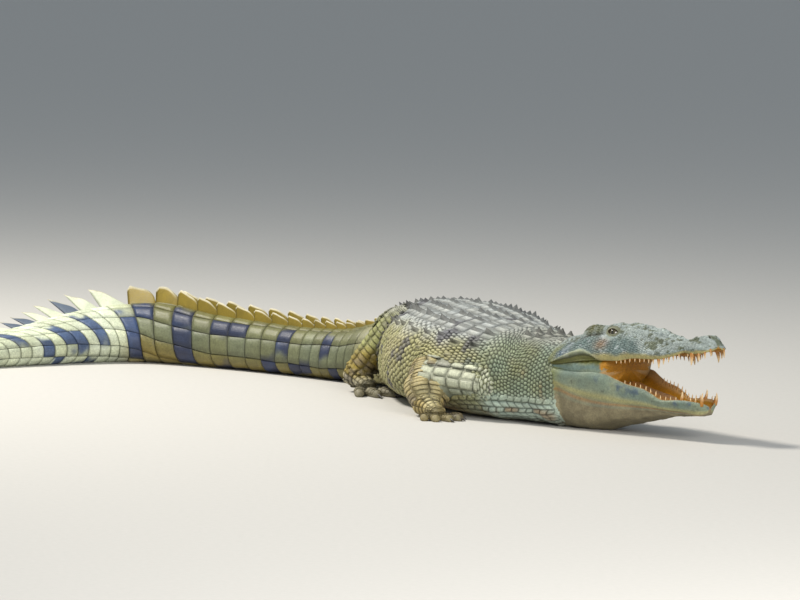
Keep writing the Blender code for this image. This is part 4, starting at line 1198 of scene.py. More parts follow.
# rings of a domed scale from the outside in: share of its outline, of its height, and of its tint, the tint
# being painted shade that darkens each dome towards its sunk rim
DOME_RINGS = ((0.98, -0.45, 0.16), (0.86, 0.30, 0.50), (0.56, 0.86, 0.96))
OUTLINE = 12


def pebbles(patch, u_range, v_range, rows, columns, height, seed, jitter=0.16, dark=1.0):
    """Domed scales on a staggered lattice.  Each outline joins the points midway between a
    scale's middle and two neighbours' middles, so that neighbours share their gaps."""
    rng = np.random.default_rng(seed)
    i = np.arange(rows + 2)[:, None] - 0.5
    j = np.arange(columns + 3)[None, :] - 0.75 + 0.5 * (np.arange(rows + 2) % 2)[:, None]
    share_u = (i + jitter * rng.uniform(-1, 1, (rows + 2, columns + 3))) / rows
    share_v = (j + jitter * rng.uniform(-1, 1, (rows + 2, columns + 3))) / columns
    u = u_range[0] + (u_range[1] - u_range[0]) * share_u
    low, high = v_range(u)
    centre = np.stack([u, low + (high - low) * share_v], axis=-1)
    r = np.arange(1, rows + 1)[:, None]
    c = np.arange(1, columns + 2)[None, :]
    odd = (r % 2) * np.ones_like(c)
    c = c * np.ones_like(r)
    r = r * np.ones_like(c)
    left = c - 1 + odd
    around = [(r, c + 1), (r + 1, left + 1), (r + 1, left), (r, c - 1), (r - 1, left), (r - 1, left + 1)]
    near = np.stack([centre[a, b] for a, b in around], axis=-2)
    mid = centre[r, c][..., None, :]
    corner = (near + np.roll(near, -1, axis=-2) + mid) / 3
    side = 0.5 * (near + mid)
    outline = np.stack([mid + 1.02 * (side - mid), mid + 0.93 * (corner - mid)], axis=-2)
    outline = outline.reshape(rows * (columns + 1), OUTLINE, 2)
    mid = mid.reshape(-1, 1, 2)
    points = [mid + size * (outline - mid) for size, _, _ in DOME_RINGS] + [mid]
    shape = np.concatenate(points, axis=1)
    tall = height * (0.75 + 0.5 * rng.uniform(0, 1, (len(mid), 1)))
    size, rise, shade = np.repeat(DOME_RINGS, OUTLINE, axis=0).T
    rise = np.append(rise, 1.0)
    shade = np.append(shade, 1.06)
    turn = np.tile(np.arange(OUTLINE) * np.pi / 6, len(DOME_RINGS))
    spread = np.concatenate([np.stack([np.cos(turn), np.sin(turn)], -1) * size[:, None], [[0.0, 0.0]]])
    faces = fan_faces(len(DOME_RINGS), OUTLINE)
    if patch.sign * (u_range[1] - u_range[0]) < 0:
        faces = faces[:, ::-1]
    if np.mean(high - low) < 0:
        faces = faces[:, ::-1]
    # painted shade over each dome, darkest at its sunk rim and a touch lighter on top; dark sets its strength
    shades = np.broadcast_to(1 - dark * (1 - shade), (len(mid), len(shade)))
    return patch, shape[..., 0], shape[..., 1], tall * rise, faces, mid[:, 0], shades, spread


# places of a plate's grid, along and across it
PLATE_A = np.array([-1.0, -0.93, -0.55, -0.2, 0.12, 0.40, 0.66, 0.93, 1.0])
PLATE_B = np.array([-1.0, -0.92, -0.37, -0.29, 0.0, 0.29, 0.37, 0.92, 1.0])
# half-width of a keel, as a share of its plate's
KEEL_HALF = 0.33


def plates(patch, nodes, height, keel=0.0, gap=0.05, round_off=0.35, overlap=0.0, peak=0.55, seam=0.0):
    """Four-cornered scales between nodes (rows + 1, columns + 1, parameters).  Each is a rounded
    grid with a sunk rim; a keel is a narrow ridge along the middle that rises to its peak towards
    the rear; overlap lifts the rear edge a little; seam raises the rims at both sides."""
    corners = [nodes[:-1, :-1], nodes[1:, :-1], nodes[1:, 1:], nodes[:-1, 1:]]
    corners = [corner.reshape(-1, 1, 2) for corner in corners]
    a, b = np.meshgrid(PLATE_A, PLATE_B, indexing="ij")
    a, b = a.ravel(), b.ravel()
    rim = (np.abs(a) > 0.99) | (np.abs(b) > 0.99)
    edge = (~rim) & ((np.abs(a) > 0.9) | (np.abs(b) > 0.9))
    fa = a * np.sqrt(1 - round_off * b * b / 2) * (1 - gap)
    fb = b * np.sqrt(1 - round_off * a * a / 2) * (1 - gap)
    s = ((1 + fa) / 2)[None, :, None]
    t = ((1 + fb) / 2)[None, :, None]
    shares = ((1 - s, 1 - t), (s, 1 - t), (s, t), (1 - s, t))
    shape = sum(corner * along * across for corner, (along, across) in zip(corners, shares))
    climb = np.clip((a + 0.75) / (0.75 + peak), 0, 1) * np.clip((0.95 - a) / (0.95 - peak), 0, 1)
    crest = np.clip(1 - np.abs(b) / KEEL_HALF, 0, 1) * climb ** 1.1
    crown = 1.0 - 0.22 * (a * a + b * b) / 2 + overlap * (a + 1) / 2
    weld = seam * (np.abs(a) < 0.99)
    rise = np.where(rim, -0.6 + 1.1 * weld, np.where(edge, 0.62 + overlap * (a + 1) / 3 + 0.2 * weld, crown))
    one = np.ones((shape.shape[0], 1))
    tall = one * np.asarray(height, float).reshape(-1, 1)
    keels = one * np.asarray(keel, float).reshape(-1, 1)
    lift = tall * rise + keels * np.where(rim, 0.0, crest)
    # painted shade: each plate's sunk rim and rounded edge are darker, as shade in the gaps; raised seams get
    # less of it
    shade = one * np.where(rim, 0.22 + 0.33 * weld, np.where(edge, 0.62 + 0.30 * weld, 1.0))
    on_keel = ramp(climb, 0.02, 0.22) * (np.abs(b) < KEEL_HALF)
    shade = shade * (1 - 0.76 * np.clip(keels / 0.008, 0, 1) * on_keel)
    faces = grid_quads(len(PLATE_A), len(PLATE_B), closed=False)
    way = (nodes[-1, 0, 0] - nodes[0, 0, 0]) * (nodes[0, -1, 1] - nodes[0, 0, 1]) * patch.sign
    if way < 0:
        faces = faces[:, ::-1]
    root = sum(corner[:, 0] for corner in corners) / 4
    return patch, shape[..., 0], shape[..., 1], lift, faces, root, shade, np.stack([a, b], -1)


def shaken(nodes, amount, seed):
    """Nodes moved a little at random, by a share of the spacing to the next."""
    rng = np.random.default_rng(seed)
    du = np.abs(np.diff(nodes[..., 0], axis=0)).mean()
    dv = np.abs(np.diff(nodes[..., 1], axis=1)).mean()
    return nodes + rng.uniform(-1, 1, nodes.shape) * amount * np.array([du, dv])


def lattice(u, v):
    """Nodes at all pairs of both parameters."""
    return np.stack(np.meshgrid(u, v, indexing="ij"), axis=-1)


# ---------------------------------------------------------------- materials
def add_node(tree, kind, inputs=None, **settings):
    """A shader node with its settings.  Its inputs, by name or number, take a value or a link."""
    made = tree.nodes.new(kind)
    for key, value in settings.items():
        setattr(made, key, value)
    for key, value in (inputs or {}).items():
        if isinstance(value, bpy.types.NodeSocket):
            tree.links.new(value, made.inputs[key])
        else:
            made.inputs[key].default_value = value
    return made


def new_material(name, **values):
    """A material, its tree, its main shader with values by name, and the piece's own coordinates."""
    material = bpy.data.materials.new(name)
    material.use_nodes = True
    tree = material.node_tree
    shader = tree.nodes["Principled BSDF"]
    for key, value in values.items():
        shader.inputs[key.replace("_", " ")].default_value = value
    return material, tree, shader, add_node(tree, "ShaderNodeTexCoord").outputs["Object"]


def cloud(tree, place, scale, detail, rough=0.5):
    """Cloudy noise at a scale."""
    inputs = {"Vector": place, "Scale": scale, "Detail": detail, "Roughness": rough}
    return add_node(tree, "ShaderNodeTexNoise", inputs)


def remap(tree, value, low, high, to_low, to_high):
    """A value carried from one span to another, and kept inside it."""
    span = {"Value": value, "From Min": low, "From Max": high, "To Min": to_low, "To Max": to_high}
    return add_node(tree, "ShaderNodeMapRange", span).outputs["Result"]


def tinted(tree, shader, factor):
    """The piece's tint, lighter or darker by a factor, as the shader's colour."""
    tint = add_node(tree, "ShaderNodeAttribute", attribute_name="tint").outputs["Color"]
    shaded = add_node(tree, "ShaderNodeVectorMath", {0: tint, "Scale": factor}, operation="SCALE")
    tree.links.new(shaded.outputs["Vector"], shader.inputs["Base Color"])


def raised(tree, shader, height, strength, distance):
    """A height as the shader's fine relief."""
    relief = add_node(tree, "ShaderNodeBump", {"Height": height, "Strength": strength, "Distance": distance})
    tree.links.new(relief.outputs["Normal"], shader.inputs["Normal"])


def hide_material(name, grain, strength, rough, speckle=0.22):
    """Painted hide: the piece's tint, mottled at two sizes, with fine creases in its relief."""
    material, tree, shader, place = new_material(name, Specular_IOR_Level=0.45)
    slow = cloud(tree, place, 17.0, 6.0, 0.62)
    fine = cloud(tree, place, 210.0, 4.0, 0.60).outputs["Fac"]
    large = remap(tree, slow.outputs["Fac"], 0.30, 0.70, 0.80, 1.16)
    small = remap(tree, fine, 0.32, 0.68, 1.0 - speckle, 1.0 + speckle)
    both = add_node(tree, "ShaderNodeMath", {0: large, 1: small}, operation="MULTIPLY")
    tinted(tree, shader, both.outputs["Value"])
    dull = remap(tree, fine, 0.3, 0.7, rough - 0.02, rough + 0.16)
    tree.links.new(dull, shader.inputs["Roughness"])
    bend = {0: slow.outputs["Color"], 1: (0.012, 0.012, 0.012), 2: place}
    warp = add_node(tree, "ShaderNodeVectorMath", bend, operation="MULTIPLY_ADD").outputs["Vector"]
    cells = {"Vector": warp, "Scale": grain}
    cells = add_node(tree, "ShaderNodeTexVoronoi", cells, feature="DISTANCE_TO_EDGE").outputs["Distance"]
    crease = remap(tree, cells, 0.0, 0.12, 0.0, 1.0)
    relief = add_node(tree, "ShaderNodeMath", {0: fine, 1: 0.8, 2: crease}, operation="MULTIPLY_ADD")
    raised(tree, shader, relief.outputs["Value"], strength, 0.0012)
    return material


def horn_material(name, rough, streak, strength):
    """Horn or ivory: the piece's tint with streaks and fine cracks."""
    material, tree, shader, place = new_material(
        name, Roughness=rough, Subsurface_Weight=0.06, Subsurface_Radius=(0.004, 0.002, 0.001)
    )
    streaks = cloud(tree, place, streak, 5.0, 0.65).outputs["Fac"]
    tinted(tree, shader, remap(tree, streaks, 0.30, 0.70, 0.70, 1.15))
    raised(tree, shader, streaks, strength, 0.0008)
    return material


def eye_material():
    """A wet eye: the painted iris under a clear glossy coat, with a little veining."""
    material = horn_material("eye_wet", 0.22, 420.0, 0.05)
    shader = material.node_tree.nodes["Principled BSDF"]
    shader.inputs["Coat Weight"].default_value = 1.0
    shader.inputs["Coat Roughness"].default_value = 0.03
    shader.inputs["Subsurface Weight"].default_value = 0.0
    return material


def floor_material():
    """A pale matt floor with a faint even grain."""
    material, tree, shader, place = new_material("floor_matt", Roughness=0.85)
    grain = cloud(tree, place, 60.0, 4.0).outputs["Fac"]
    tones = {0: grain, 6: (0.50, 0.49, 0.46, 1.0), 7: (0.56, 0.54, 0.51, 1.0)}
    blend = add_node(tree, "ShaderNodeMix", tones, data_type="RGBA")
    tree.links.new(blend.outputs[2], shader.inputs["Base Color"])
    return material


# ---------------------------------------------------------------- sizes and colours a user may change
class CrocodileScales(bpy.types.PropertyGroup):
    """Sizes of the scales that lie over the skin."""

    coat: FloatProperty(name="Coat depth", description="Skin lies this deep", default=0.003, unit="LENGTH")
    pebble: FloatProperty(
        name="Pebble height", description="Height of flank scales", default=0.0052, unit="LENGTH"
    )
    granule: FloatProperty(
        name="Granule height", description="Height of neck scales", default=0.0036, unit="LENGTH"
    )
    knob: FloatProperty(
        name="Head bumps", description="Height of the head's bumps", default=0.0021, unit="LENGTH"
    )
    plate: FloatProperty(
        name="Plate height", description="Height of flat scales", default=0.0032, unit="LENGTH"
    )
    keel: FloatProperty(
        name="Back keel", description="Height of the back's keels", default=0.017, unit="LENGTH"
    )
    nape: FloatProperty(
        name="Nape keel", description="Height of the nape's keels", default=0.016, unit="LENGTH"
    )


class CrocodileHead(bpy.types.PropertyGroup):
    """Sizes and colours of eyes, teeth and tongue."""

    lid: FloatProperty(
        name="Lid thickness", description="Lids over the eyeball", default=0.0034, unit="LENGTH"
    )
    slit_wide: FloatProperty(
        name="Eye half-width", description="Half-width of the open lids", default=0.0158, unit="LENGTH"
    )
    slit_high: FloatProperty(
        name="Eye half-height", description="Half-height of the open lids", default=0.0080, unit="LENGTH"
    )
    iris: FloatVectorProperty(
        name="Iris", description="Colour of the iris", default=(0.055, 0.045, 0.016), subtype="COLOR"
    )
    ivory: FloatVectorProperty(
        name="Tooth", description="Colour of the crowns", default=(0.70, 0.51, 0.28), subtype="COLOR"
    )
    stain: FloatVectorProperty(
        name="Stain", description="Colour at the gums", default=(0.42, 0.18, 0.03), subtype="COLOR"
    )
    tongue: FloatVectorProperty(
        name="Tongue", description="Colour of the tongue", default=(0.40, 0.19, 0.05), subtype="COLOR"
    )


class CrocodileStage(bpy.types.PropertyGroup):
    """The plain stage."""

    floor: FloatProperty(name="Floor size", description="Side of the floor", default=60.0, unit="LENGTH")
    key: FloatProperty(
        name="Key light", description="Power of the high soft light", default=380.0, unit="POWER"
    )
    fill: FloatProperty(
        name="Fill light", description="Power of the front light", default=330.0, unit="POWER"
    )
    sky: FloatProperty(name="Sky", description="Strength of the even light", default=0.42)
    lens: FloatProperty(name="Lens", description="Focal length", default=342.2, subtype="DISTANCE_CAMERA")


# ---------------------------------------------------------------- skin
def throat_solid():
    """The hollow of the throat: an ellipsoid between the jaws."""
    u = np.linspace(0.03, np.pi - 0.03, 40)[:, None]
    v = (np.arange(56) * 2 * np.pi / 56)[None, :]
    x = 0.195 - 0.095 * np.cos(u) + 0 * v
    y = -0.083 * np.sin(u) * np.sin(v)
    z = 0.060 * np.sin(u) * np.cos(v)
    local = np.stack([x, y, z], axis=-1)
    points = head_to_world(local, MOUTH_PITCH)
    # darker deeper in the throat: painted shade
    deep = ramp(local[..., 0], 0.105, 0.17) + 0.25 * noise(local, 0.02, 51.0)
    tint = mix(MOUTH_SHADE, MOUTH, np.clip(deep, 0, 1))
    return closed_loft("throat", points, 1.0, tint, PART["throat"])


def eye_frame(side):
    """World centre of an eye, with the directions that it looks in, across the lids and up."""
    tip = math.radians(CRANIUM_PITCH)
    ahead = np.array([math.cos(tip) * math.cos(YAW), -math.cos(tip) * math.sin(YAW), math.sin(tip)])
    left = np.array([math.sin(YAW), math.cos(YAW), 0.0])
    up = np.cross(ahead, left)
    centre = head_to_world(np.array([EYE[0], side * EYE[1], EYE[2]]), CRANIUM_PITCH)
    look = 0.30 * ahead + 0.86 * side * left + 0.36 * up
    look = look / np.linalg.norm(look)
    across = ahead - look * float(ahead @ look)
    across = across / np.linalg.norm(across)
    above = np.cross(look, across) * side
    return centre, look, across, above


def ball(centre, axes, rows, columns, tint, name):
    """An ellipsoid on three axes, each as long as its radius."""
    u = np.linspace(0.04, np.pi - 0.04, rows)[:, None]
    v = (np.arange(columns) * 2 * np.pi / columns)[None, :]
    points = centre
    for share, axis in zip((np.cos(u), np.sin(u) * np.cos(v), np.sin(u) * np.sin(v)), axes):
        points = points + share[..., None] * axis
    sign = 1.0 if np.dot(np.cross(axes[0], axes[1]), axes[2]) > 0 else -1.0
    return closed_loft(name, points, sign, np.broadcast_to(tint, points.shape), PART.get(name, 0.0))


def slit_prism(centre, look, across, above, wide, high):
    """The open space between the lids: an almond outline carried outwards from the eye."""
    turn = np.arange(40) * 2 * np.pi / 40
    flat = wide * np.cos(turn)
    tall = high * np.sin(turn) * (1 - 0.35 * np.abs(np.cos(turn)) ** 3)
    far = np.array([0.004, 0.016, 0.024, 0.034])[:, None, None]
    spread = np.array([0.75, 0.95, 1.10, 1.35])[:, None, None]
    ring = flat[:, None] * across + tall[:, None] * above
    points = centre + far * look + spread * ring
    sign = 1.0 if np.dot(np.cross(across, above), look) < 0 else -1.0
    tint = np.broadcast_to(np.array([0.10, 0.085, 0.05]), points.shape)
    return closed_loft("slit", points, sign, tint, PART["slit"])


def nostril_solid(side):
    """A nostril: a small slanting oval hollow on the nose mound."""
    centre = head_to_world(np.array(NOSTRIL) * (1.0, side, 1.0), CRANIUM_PITCH)
    ahead = np.array([math.cos(YAW), -math.sin(YAW), 0.1])
    left = np.array([math.sin(YAW), math.cos(YAW), 0.0])
    along = 0.0065 * (ahead + 0.5 * side * left)
    across = 0.0030 * (left - 0.4 * side * ahead)
    deep = np.array([0, 0, 0.007])
    # the hollow's walls are painted near black: painted shade inside the nostril
    return ball(centre, (along, across, deep), 12, 16, (0.035, 0.030, 0.025), "nostril")


def spans(*parts):
    """Even rows over each span, one after the other."""
    return np.concatenate([np.linspace(*part) for part in parts])


def join_legs(obj):
    """Adds the segments and toes of all legs to the trunk.  Each upper and lower segment and each
    foot has a part number of its own, so that the seams between them are found."""
    part = PART["legs"]
    for segments, toes in LIMBS.values():
        for segment in segments:
            combine(obj, patch_solid(segment, np.linspace(-0.97, 1.97, 38), 28, part), "UNION")
            part += 1.0
        for toe in toes:
            combine(obj, patch_solid(toe, np.linspace(-0.28, 1.075, 22), 14, part), "UNION")
        part += 1.0


def join_head(obj):
    """Adds the skull, and the lower jaw with the cheeks and the hollow of the throat."""
    at = spans((0.003, 0.30, 96), (0.303, 0.492, 66), (0.494, 0.500, 5))
    combine(obj, patch_solid(CRANIUM_PATCH, at, 104, PART["cranium"]), "UNION")
    at = spans((0.003, 0.30, 88), (0.303, 0.470, 55), (0.472, 0.478, 5))
    jaw = wrap("jaw", patch_solid(JAW_PATCH, at, 104, PART["jaw"]))
    at = spans((-0.008, 0.172, 50), (0.174, MOUTH_CORNER, 2))
    cheek = wrap("cheek", patch_solid(CHEEK_PATCH, at, 72, PART["cheek"]))
    combine(cheek, throat_solid(), "DIFFERENCE")
    combine(jaw, cheek.data.copy(), "UNION")
    soften_seams(jaw.data, 0.022, 24)
    combine(obj, jaw.data.copy(), "UNION")
    bpy.data.objects.remove(cheek)
    bpy.data.objects.remove(jaw)


def open_eyes(obj, head):
    """Adds the lids, then cuts the slits between them, the sockets and the nostrils."""
    for side in (1.0, -1.0):
        centre, look, across, above = eye_frame(side)
        size = EYE_RADIUS + head.lid
        axes = (1.22 * size * across, size * above, size * look)
        combine(obj, ball(centre, axes, 40, 48, (0.170, 0.175, 0.110), "lids"), "UNION")
    soften_seams(obj.data, 0.009, 10)
    for side in (1.0, -1.0):
        centre, look, across, above = eye_frame(side)
        slit = slit_prism(centre, look, across, above, head.slit_wide, head.slit_high)
        combine(obj, slit, "DIFFERENCE")
        size = EYE_RADIUS + SOCKET_GAP
        axes = (size * look, size * across, size * above)
        combine(obj, ball(centre, axes, 36, 40, (0.12, 0.08, 0.05), "socket"), "DIFFERENCE")
        combine(obj, nostril_solid(side), "DIFFERENCE")
    soften_seams(obj.data, 0.002, 2)


class CROC_OT_skin(bpy.types.Operator):
    """One skin over neck, trunk, tail, head and legs"""

    bl_idname = "croc.skin"
    bl_label = "Skin"

    def execute(self, context):
        SIZES["depth"] = context.scene.croc_scales.coat
        rows = np.linspace(0.020, TIP_AT - 0.006, 290)
        obj = wrap("skin", patch_solid(BODY_PATCH, rows, 80, PART["body"], turns=1.0))
        join_legs(obj)
        soften_seams(obj.data, 0.045, 60)
        join_head(obj)
        soften_seams(obj.data, 0.012, 10)
        open_eyes(obj, context.scene.croc_head)
        mesh = obj.data
        mesh.polygons.foreach_set("use_smooth", np.ones(len(mesh.polygons), dtype=bool))
        mesh.attributes.remove(mesh.attributes["part"])
        mesh.materials.clear()
        mesh.materials.append(hide_material("hide_bare", 420.0, 0.38, 0.44))
        graph = bpy.context.evaluated_depsgraph_get()
        bpy.context.view_layer.update()
        SKIN["tree"] = BVHTree.FromObject(obj, graph)
        flesh = [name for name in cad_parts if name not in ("eye_left", "eye_right", "tongue")]
        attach(obj, "root")
        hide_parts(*flesh)
        return {"FINISHED"}


class CROC_OT_eyes(bpy.types.Operator):
    """Two eyeballs with slit pupils"""

    bl_idname = "croc.eyes"
    bl_label = "Eyes"

    def execute(self, context):
        head = context.scene.croc_head
        material = eye_material()
        for side, name in ((1.0, "left"), (-1.0, "right")):
            centre, look, across, above = eye_frame(side)
            axes = (EYE_RADIUS * look, EYE_RADIUS * across, EYE_RADIUS * above)
            mesh = ball(centre, axes, 56, 72, (0, 0, 0), "eyeball_" + name)
            co = vertex_places(mesh) - centre
            out, wide, tall = (co @ way / EYE_RADIUS for way in (look, across, above))
            away = np.hypot(wide, tall)
            streak = noise(np.stack([np.arctan2(tall, wide) * 6, away * 2, 0 * away], -1), 0.5, 61.0)
            beside = np.abs(wide) - 0.10 * (1 - (tall / 0.5) ** 2)
            pupil = (1 - ramp(beside, 0.0, 0.03)) * (np.abs(tall) < 0.5)
            colour = layered(
                np.array(head.iris)[None, :] * (1 + 0.45 * streak[:, None]),
                ((0.05, 0.035, 0.02), ramp(away, 0.42, 0.60)),
                ((0.050, 0.036, 0.018), ramp(away, 0.62, 0.85)),
                ((0.004, 0.004, 0.004), pupil * (out > 0)),
            )
            mesh.attributes.remove(mesh.attributes["tint"])
            mesh.attributes.remove(mesh.attributes["part"])
            paint(mesh, "tint", np.clip(colour, 0, 1), "POINT")
            mesh.materials.append(material)
            obj = wrap("eyeball_" + name, mesh)
            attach(obj, "root")
            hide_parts("eye_" + name)
        return {"FINISHED"}


def tapered(cones, rows, columns, power):
    """Curved cones, each with its root, tip, bend and radius: bowed by the bend, with a radius
    that falls as a power of the way left.  Returns points, faces and how far along each point is."""
    roots, tips, bends, radius = (np.array(part) for part in zip(*cones))
    count = len(roots)
    t = np.linspace(0.0, 1.0, rows)[None, :, None]
    phi = (np.arange(columns) * 2 * np.pi / columns)[None, None, :]
    axis = tips - roots
    length = np.linalg.norm(axis, axis=1, keepdims=True)
    way = axis / length
    side = np.cross(way, np.array([0.31, 0.17, 0.94]))
    side = side / np.linalg.norm(side, axis=1, keepdims=True)
    other = np.cross(way, side)
    size = radius[:, None, None] * np.clip(1 - t, 0.0, 1.0) ** power + 0.00012
    middle = roots[:, None, :] + t * axis[:, None, :] + (4 * t * (1 - t)) * bends[:, None, :]
    ring = np.cos(phi)[..., None] * side[:, None, None, :] + np.sin(phi)[..., None] * other[:, None, None, :]
    points = middle[:, :, None, :] + size[..., None] * ring
    walls = grid_quads(rows, columns)[:, [0, 3, 2, 1]]
    ends = np.stack([np.arange(columns)[::-1], (rows - 1) * columns + np.arange(columns)])
    faces = [repeated(part, count, rows * columns) for part in (walls, ends)]
    along = np.broadcast_to(t, (count, rows, columns))
    return points.reshape(-1, 3), faces, along.reshape(-1)


class CROC_OT_teeth(bpy.types.Operator):
    """Both rows of teeth"""

    bl_idname = "croc.teeth"
    bl_label = "Teeth"

    def execute(self, context):
        head = context.scene.croc_head
        cones = []
        rows = (
            (UPPER_TEETH, cranium_cage, CRANIUM_PITCH, -1.0, 0.12),
            (LOWER_TEETH, jaw_cage, JAW_PITCH, 1.0, 0.10),
        )
        rng = np.random.default_rng(7)
        for teeth, cage, pitch, up, splay in rows:
            for at, length in teeth:
                across, lip = (float(np.ravel(value)[0]) for value in cage(np.array([at]))[3])
                near_tip = max(0.0, (at - 0.47) / 0.04)
                for side in (-1.0, 1.0):
                    base = np.array([at, side * (across - 0.003), lip - up * 0.008])
                    lean = np.array([splay * near_tip, side * splay * (1 - 0.6 * near_tip), up])
                    lean = lean + 0.06 * rng.uniform(-1, 1, 3)
                    lean = lean / np.linalg.norm(lean)
                    long = (length * rng.uniform(0.92, 1.04)) + 0.008
                    root, tip = head_to_world(np.stack([base, base + lean * long]), pitch)
                    bow = np.array([[0.0, 0.0, 0.0], [0.07 * length, 0.05 * side * length, 0.0]])
                    bow = head_to_world(bow, pitch)
                    radius = max(0.0026, 0.235 * length ** 0.8 * 0.02 ** 0.2)
                    cones.append((root, tip, bow[1] - bow[0], radius))
        points, faces, along = tapered(cones, 12, 10, 0.62)
        mesh = mesh_of("teeth", points, faces)
        paint(mesh, "tint", mix(head.stain, head.ivory, ramp(along, 0.28, 0.75)), "POINT")
        mesh.materials.append(horn_material("tooth_ivory", 0.32, 260.0, 0.25))
        obj = wrap("teeth", mesh)
        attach(obj, "root")
        return {"FINISHED"}


class CROC_OT_tongue(bpy.types.Operator):
    """The broad flat tongue on the mouth floor"""

    bl_idname = "croc.tongue"
    bl_label = "Tongue"

    def execute(self, context):
        at = np.linspace(0.120, 0.374, 70)
        v = np.arange(48) * 2 * np.pi / 48
        places = (0.118, 0.150, 0.220, 0.300, 0.355, 0.375)
        half = (column(JAW, at, 1) - GUM - 0.007) * ease(at, places, (0.50, 0.78, 0.84, 0.82, 0.60, 0.20))
        tall = ease(at, places, (0.006, 0.012, 0.015, 0.013, 0.009, 0.003))
        x = at[:, None] + 0 * v
        y = half[:, None] * np.sin(v)
        groove = 1 - 0.12 * bell(np.sin(v), 0.0, 0.12)
        z = column(JAW, at, 3)[:, None] + 0.001 + tall[:, None] * np.cos(v) * groove
        local = np.stack([x, y, z], axis=-1)
        local[..., 2] += 0.0008 * noise(local, 0.004, 71.0) * (np.cos(v) > 0)
        points = head_to_world(local, JAW_PITCH)
        tint = np.array(context.scene.croc_head.tongue) * (1 + 0.2 * noise(local, 0.012, 72.0)[..., None])
        mesh = closed_loft("tongue_flesh", points, -1.0, tint, 0.0)
        mesh.attributes.remove(mesh.attributes["part"])
        mesh.materials.append(hide_material("tongue_flesh", 520.0, 0.5, 0.30))
        obj = wrap("tongue_flesh", mesh)
        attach(obj, "root")
        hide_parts("tongue")
        return {"FINISHED"}


class CROC_OT_claws(bpy.types.Operator):
    """Claws of the three inner digits of each foot"""

    bl_idname = "croc.claws"
    bl_label = "Claws"

    def execute(self, context):
        cones = []
        for _, toes in LIMBS.values():
            for toe in toes[:3]:
                root = toe.root + toe.way * toe.length * 0.94 + np.array([0, 0, 0.55 * toe.radius])
                tip = toe.root + toe.way * (toe.length * 1.30) + np.array([0, 0, 0.0014])
                cones.append((root, tip, np.array([0, 0, 0.20 * toe.radius]), 0.42 * toe.radius))
        points, faces, along = tapered(cones, 10, 10, 0.8)
        points[:, 2] = np.maximum(points[:, 2], FLOOR_CLEAR)
        mesh = mesh_of("claws", points, faces)
        paint(mesh, "tint", mix((0.10, 0.085, 0.06), (0.030, 0.026, 0.022), ramp(along, 0.1, 0.8)), "POINT")
        mesh.materials.append(horn_material("claw_horn", 0.38, 180.0, 0.35))
        obj = wrap("claws", mesh)
        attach(obj, "root")
        return {"FINISHED"}


# ---------------------------------------------------------------- the coat of scales
def crest_share(at):
    """Share of the girth at which the near crest row stands; both rows merge in the middle."""
    turn = ease(at, (PELVIS_END - 0.1, 1.6, 1.9, CREST_MERGE), (0.30, 0.28, 0.16, 0.0))
    row = int(np.clip(round(at / GIRTH_AT[1]), 0, len(GIRTH_AT) - 1))
    return float(np.interp(turn, TURNED[row], SHARES))


def tail_nodes(side):
    """Corners of the tail's scales: whorl lines that slant towards the belly, crossed by rows."""
    nodes = lattice(WHORLS, np.array([0.0, 0.045, 0.115, 0.200, 0.300, 0.405, 0.5]))
    nodes[..., 0] -= whorl_slant(*np.moveaxis(nodes, -1, 0))
    nodes = shaken(nodes, 0.05, 81 if side > 0 else 82)
    nodes[..., 1] = np.clip(nodes[..., 1], 0.0, 0.5) * side
    return nodes


class CROC_OT_tail_scales(bpy.types.Operator):
    """Whorls of oblong scales round the tail"""

    bl_idname = "croc.tail_scales"
    bl_label = "Tail scales"

    def execute(self, context):
        sizes = context.scene.croc_scales
        look = dict(gap=0.016, round_off=0.05, overlap=0.9, seam=1.0)
        runs = [plates(BODY_PATCH, tail_nodes(side), sizes.plate, **look) for side in (1, -1)]
        scale_piece("tail_scales", runs, hide_material("hide_tail", 200.0, 0.20, 0.40))
        return {"FINISHED"}


# outline of a fin of the double crest: share of its full height at shares of its length
FIN_AT = (0.0, 0.05, 0.25, 0.50, 0.80, 0.95, 1.0)
FIN_TALL = (0.10, 0.38, 0.66, 0.84, 0.97, 1.0, 0.80)


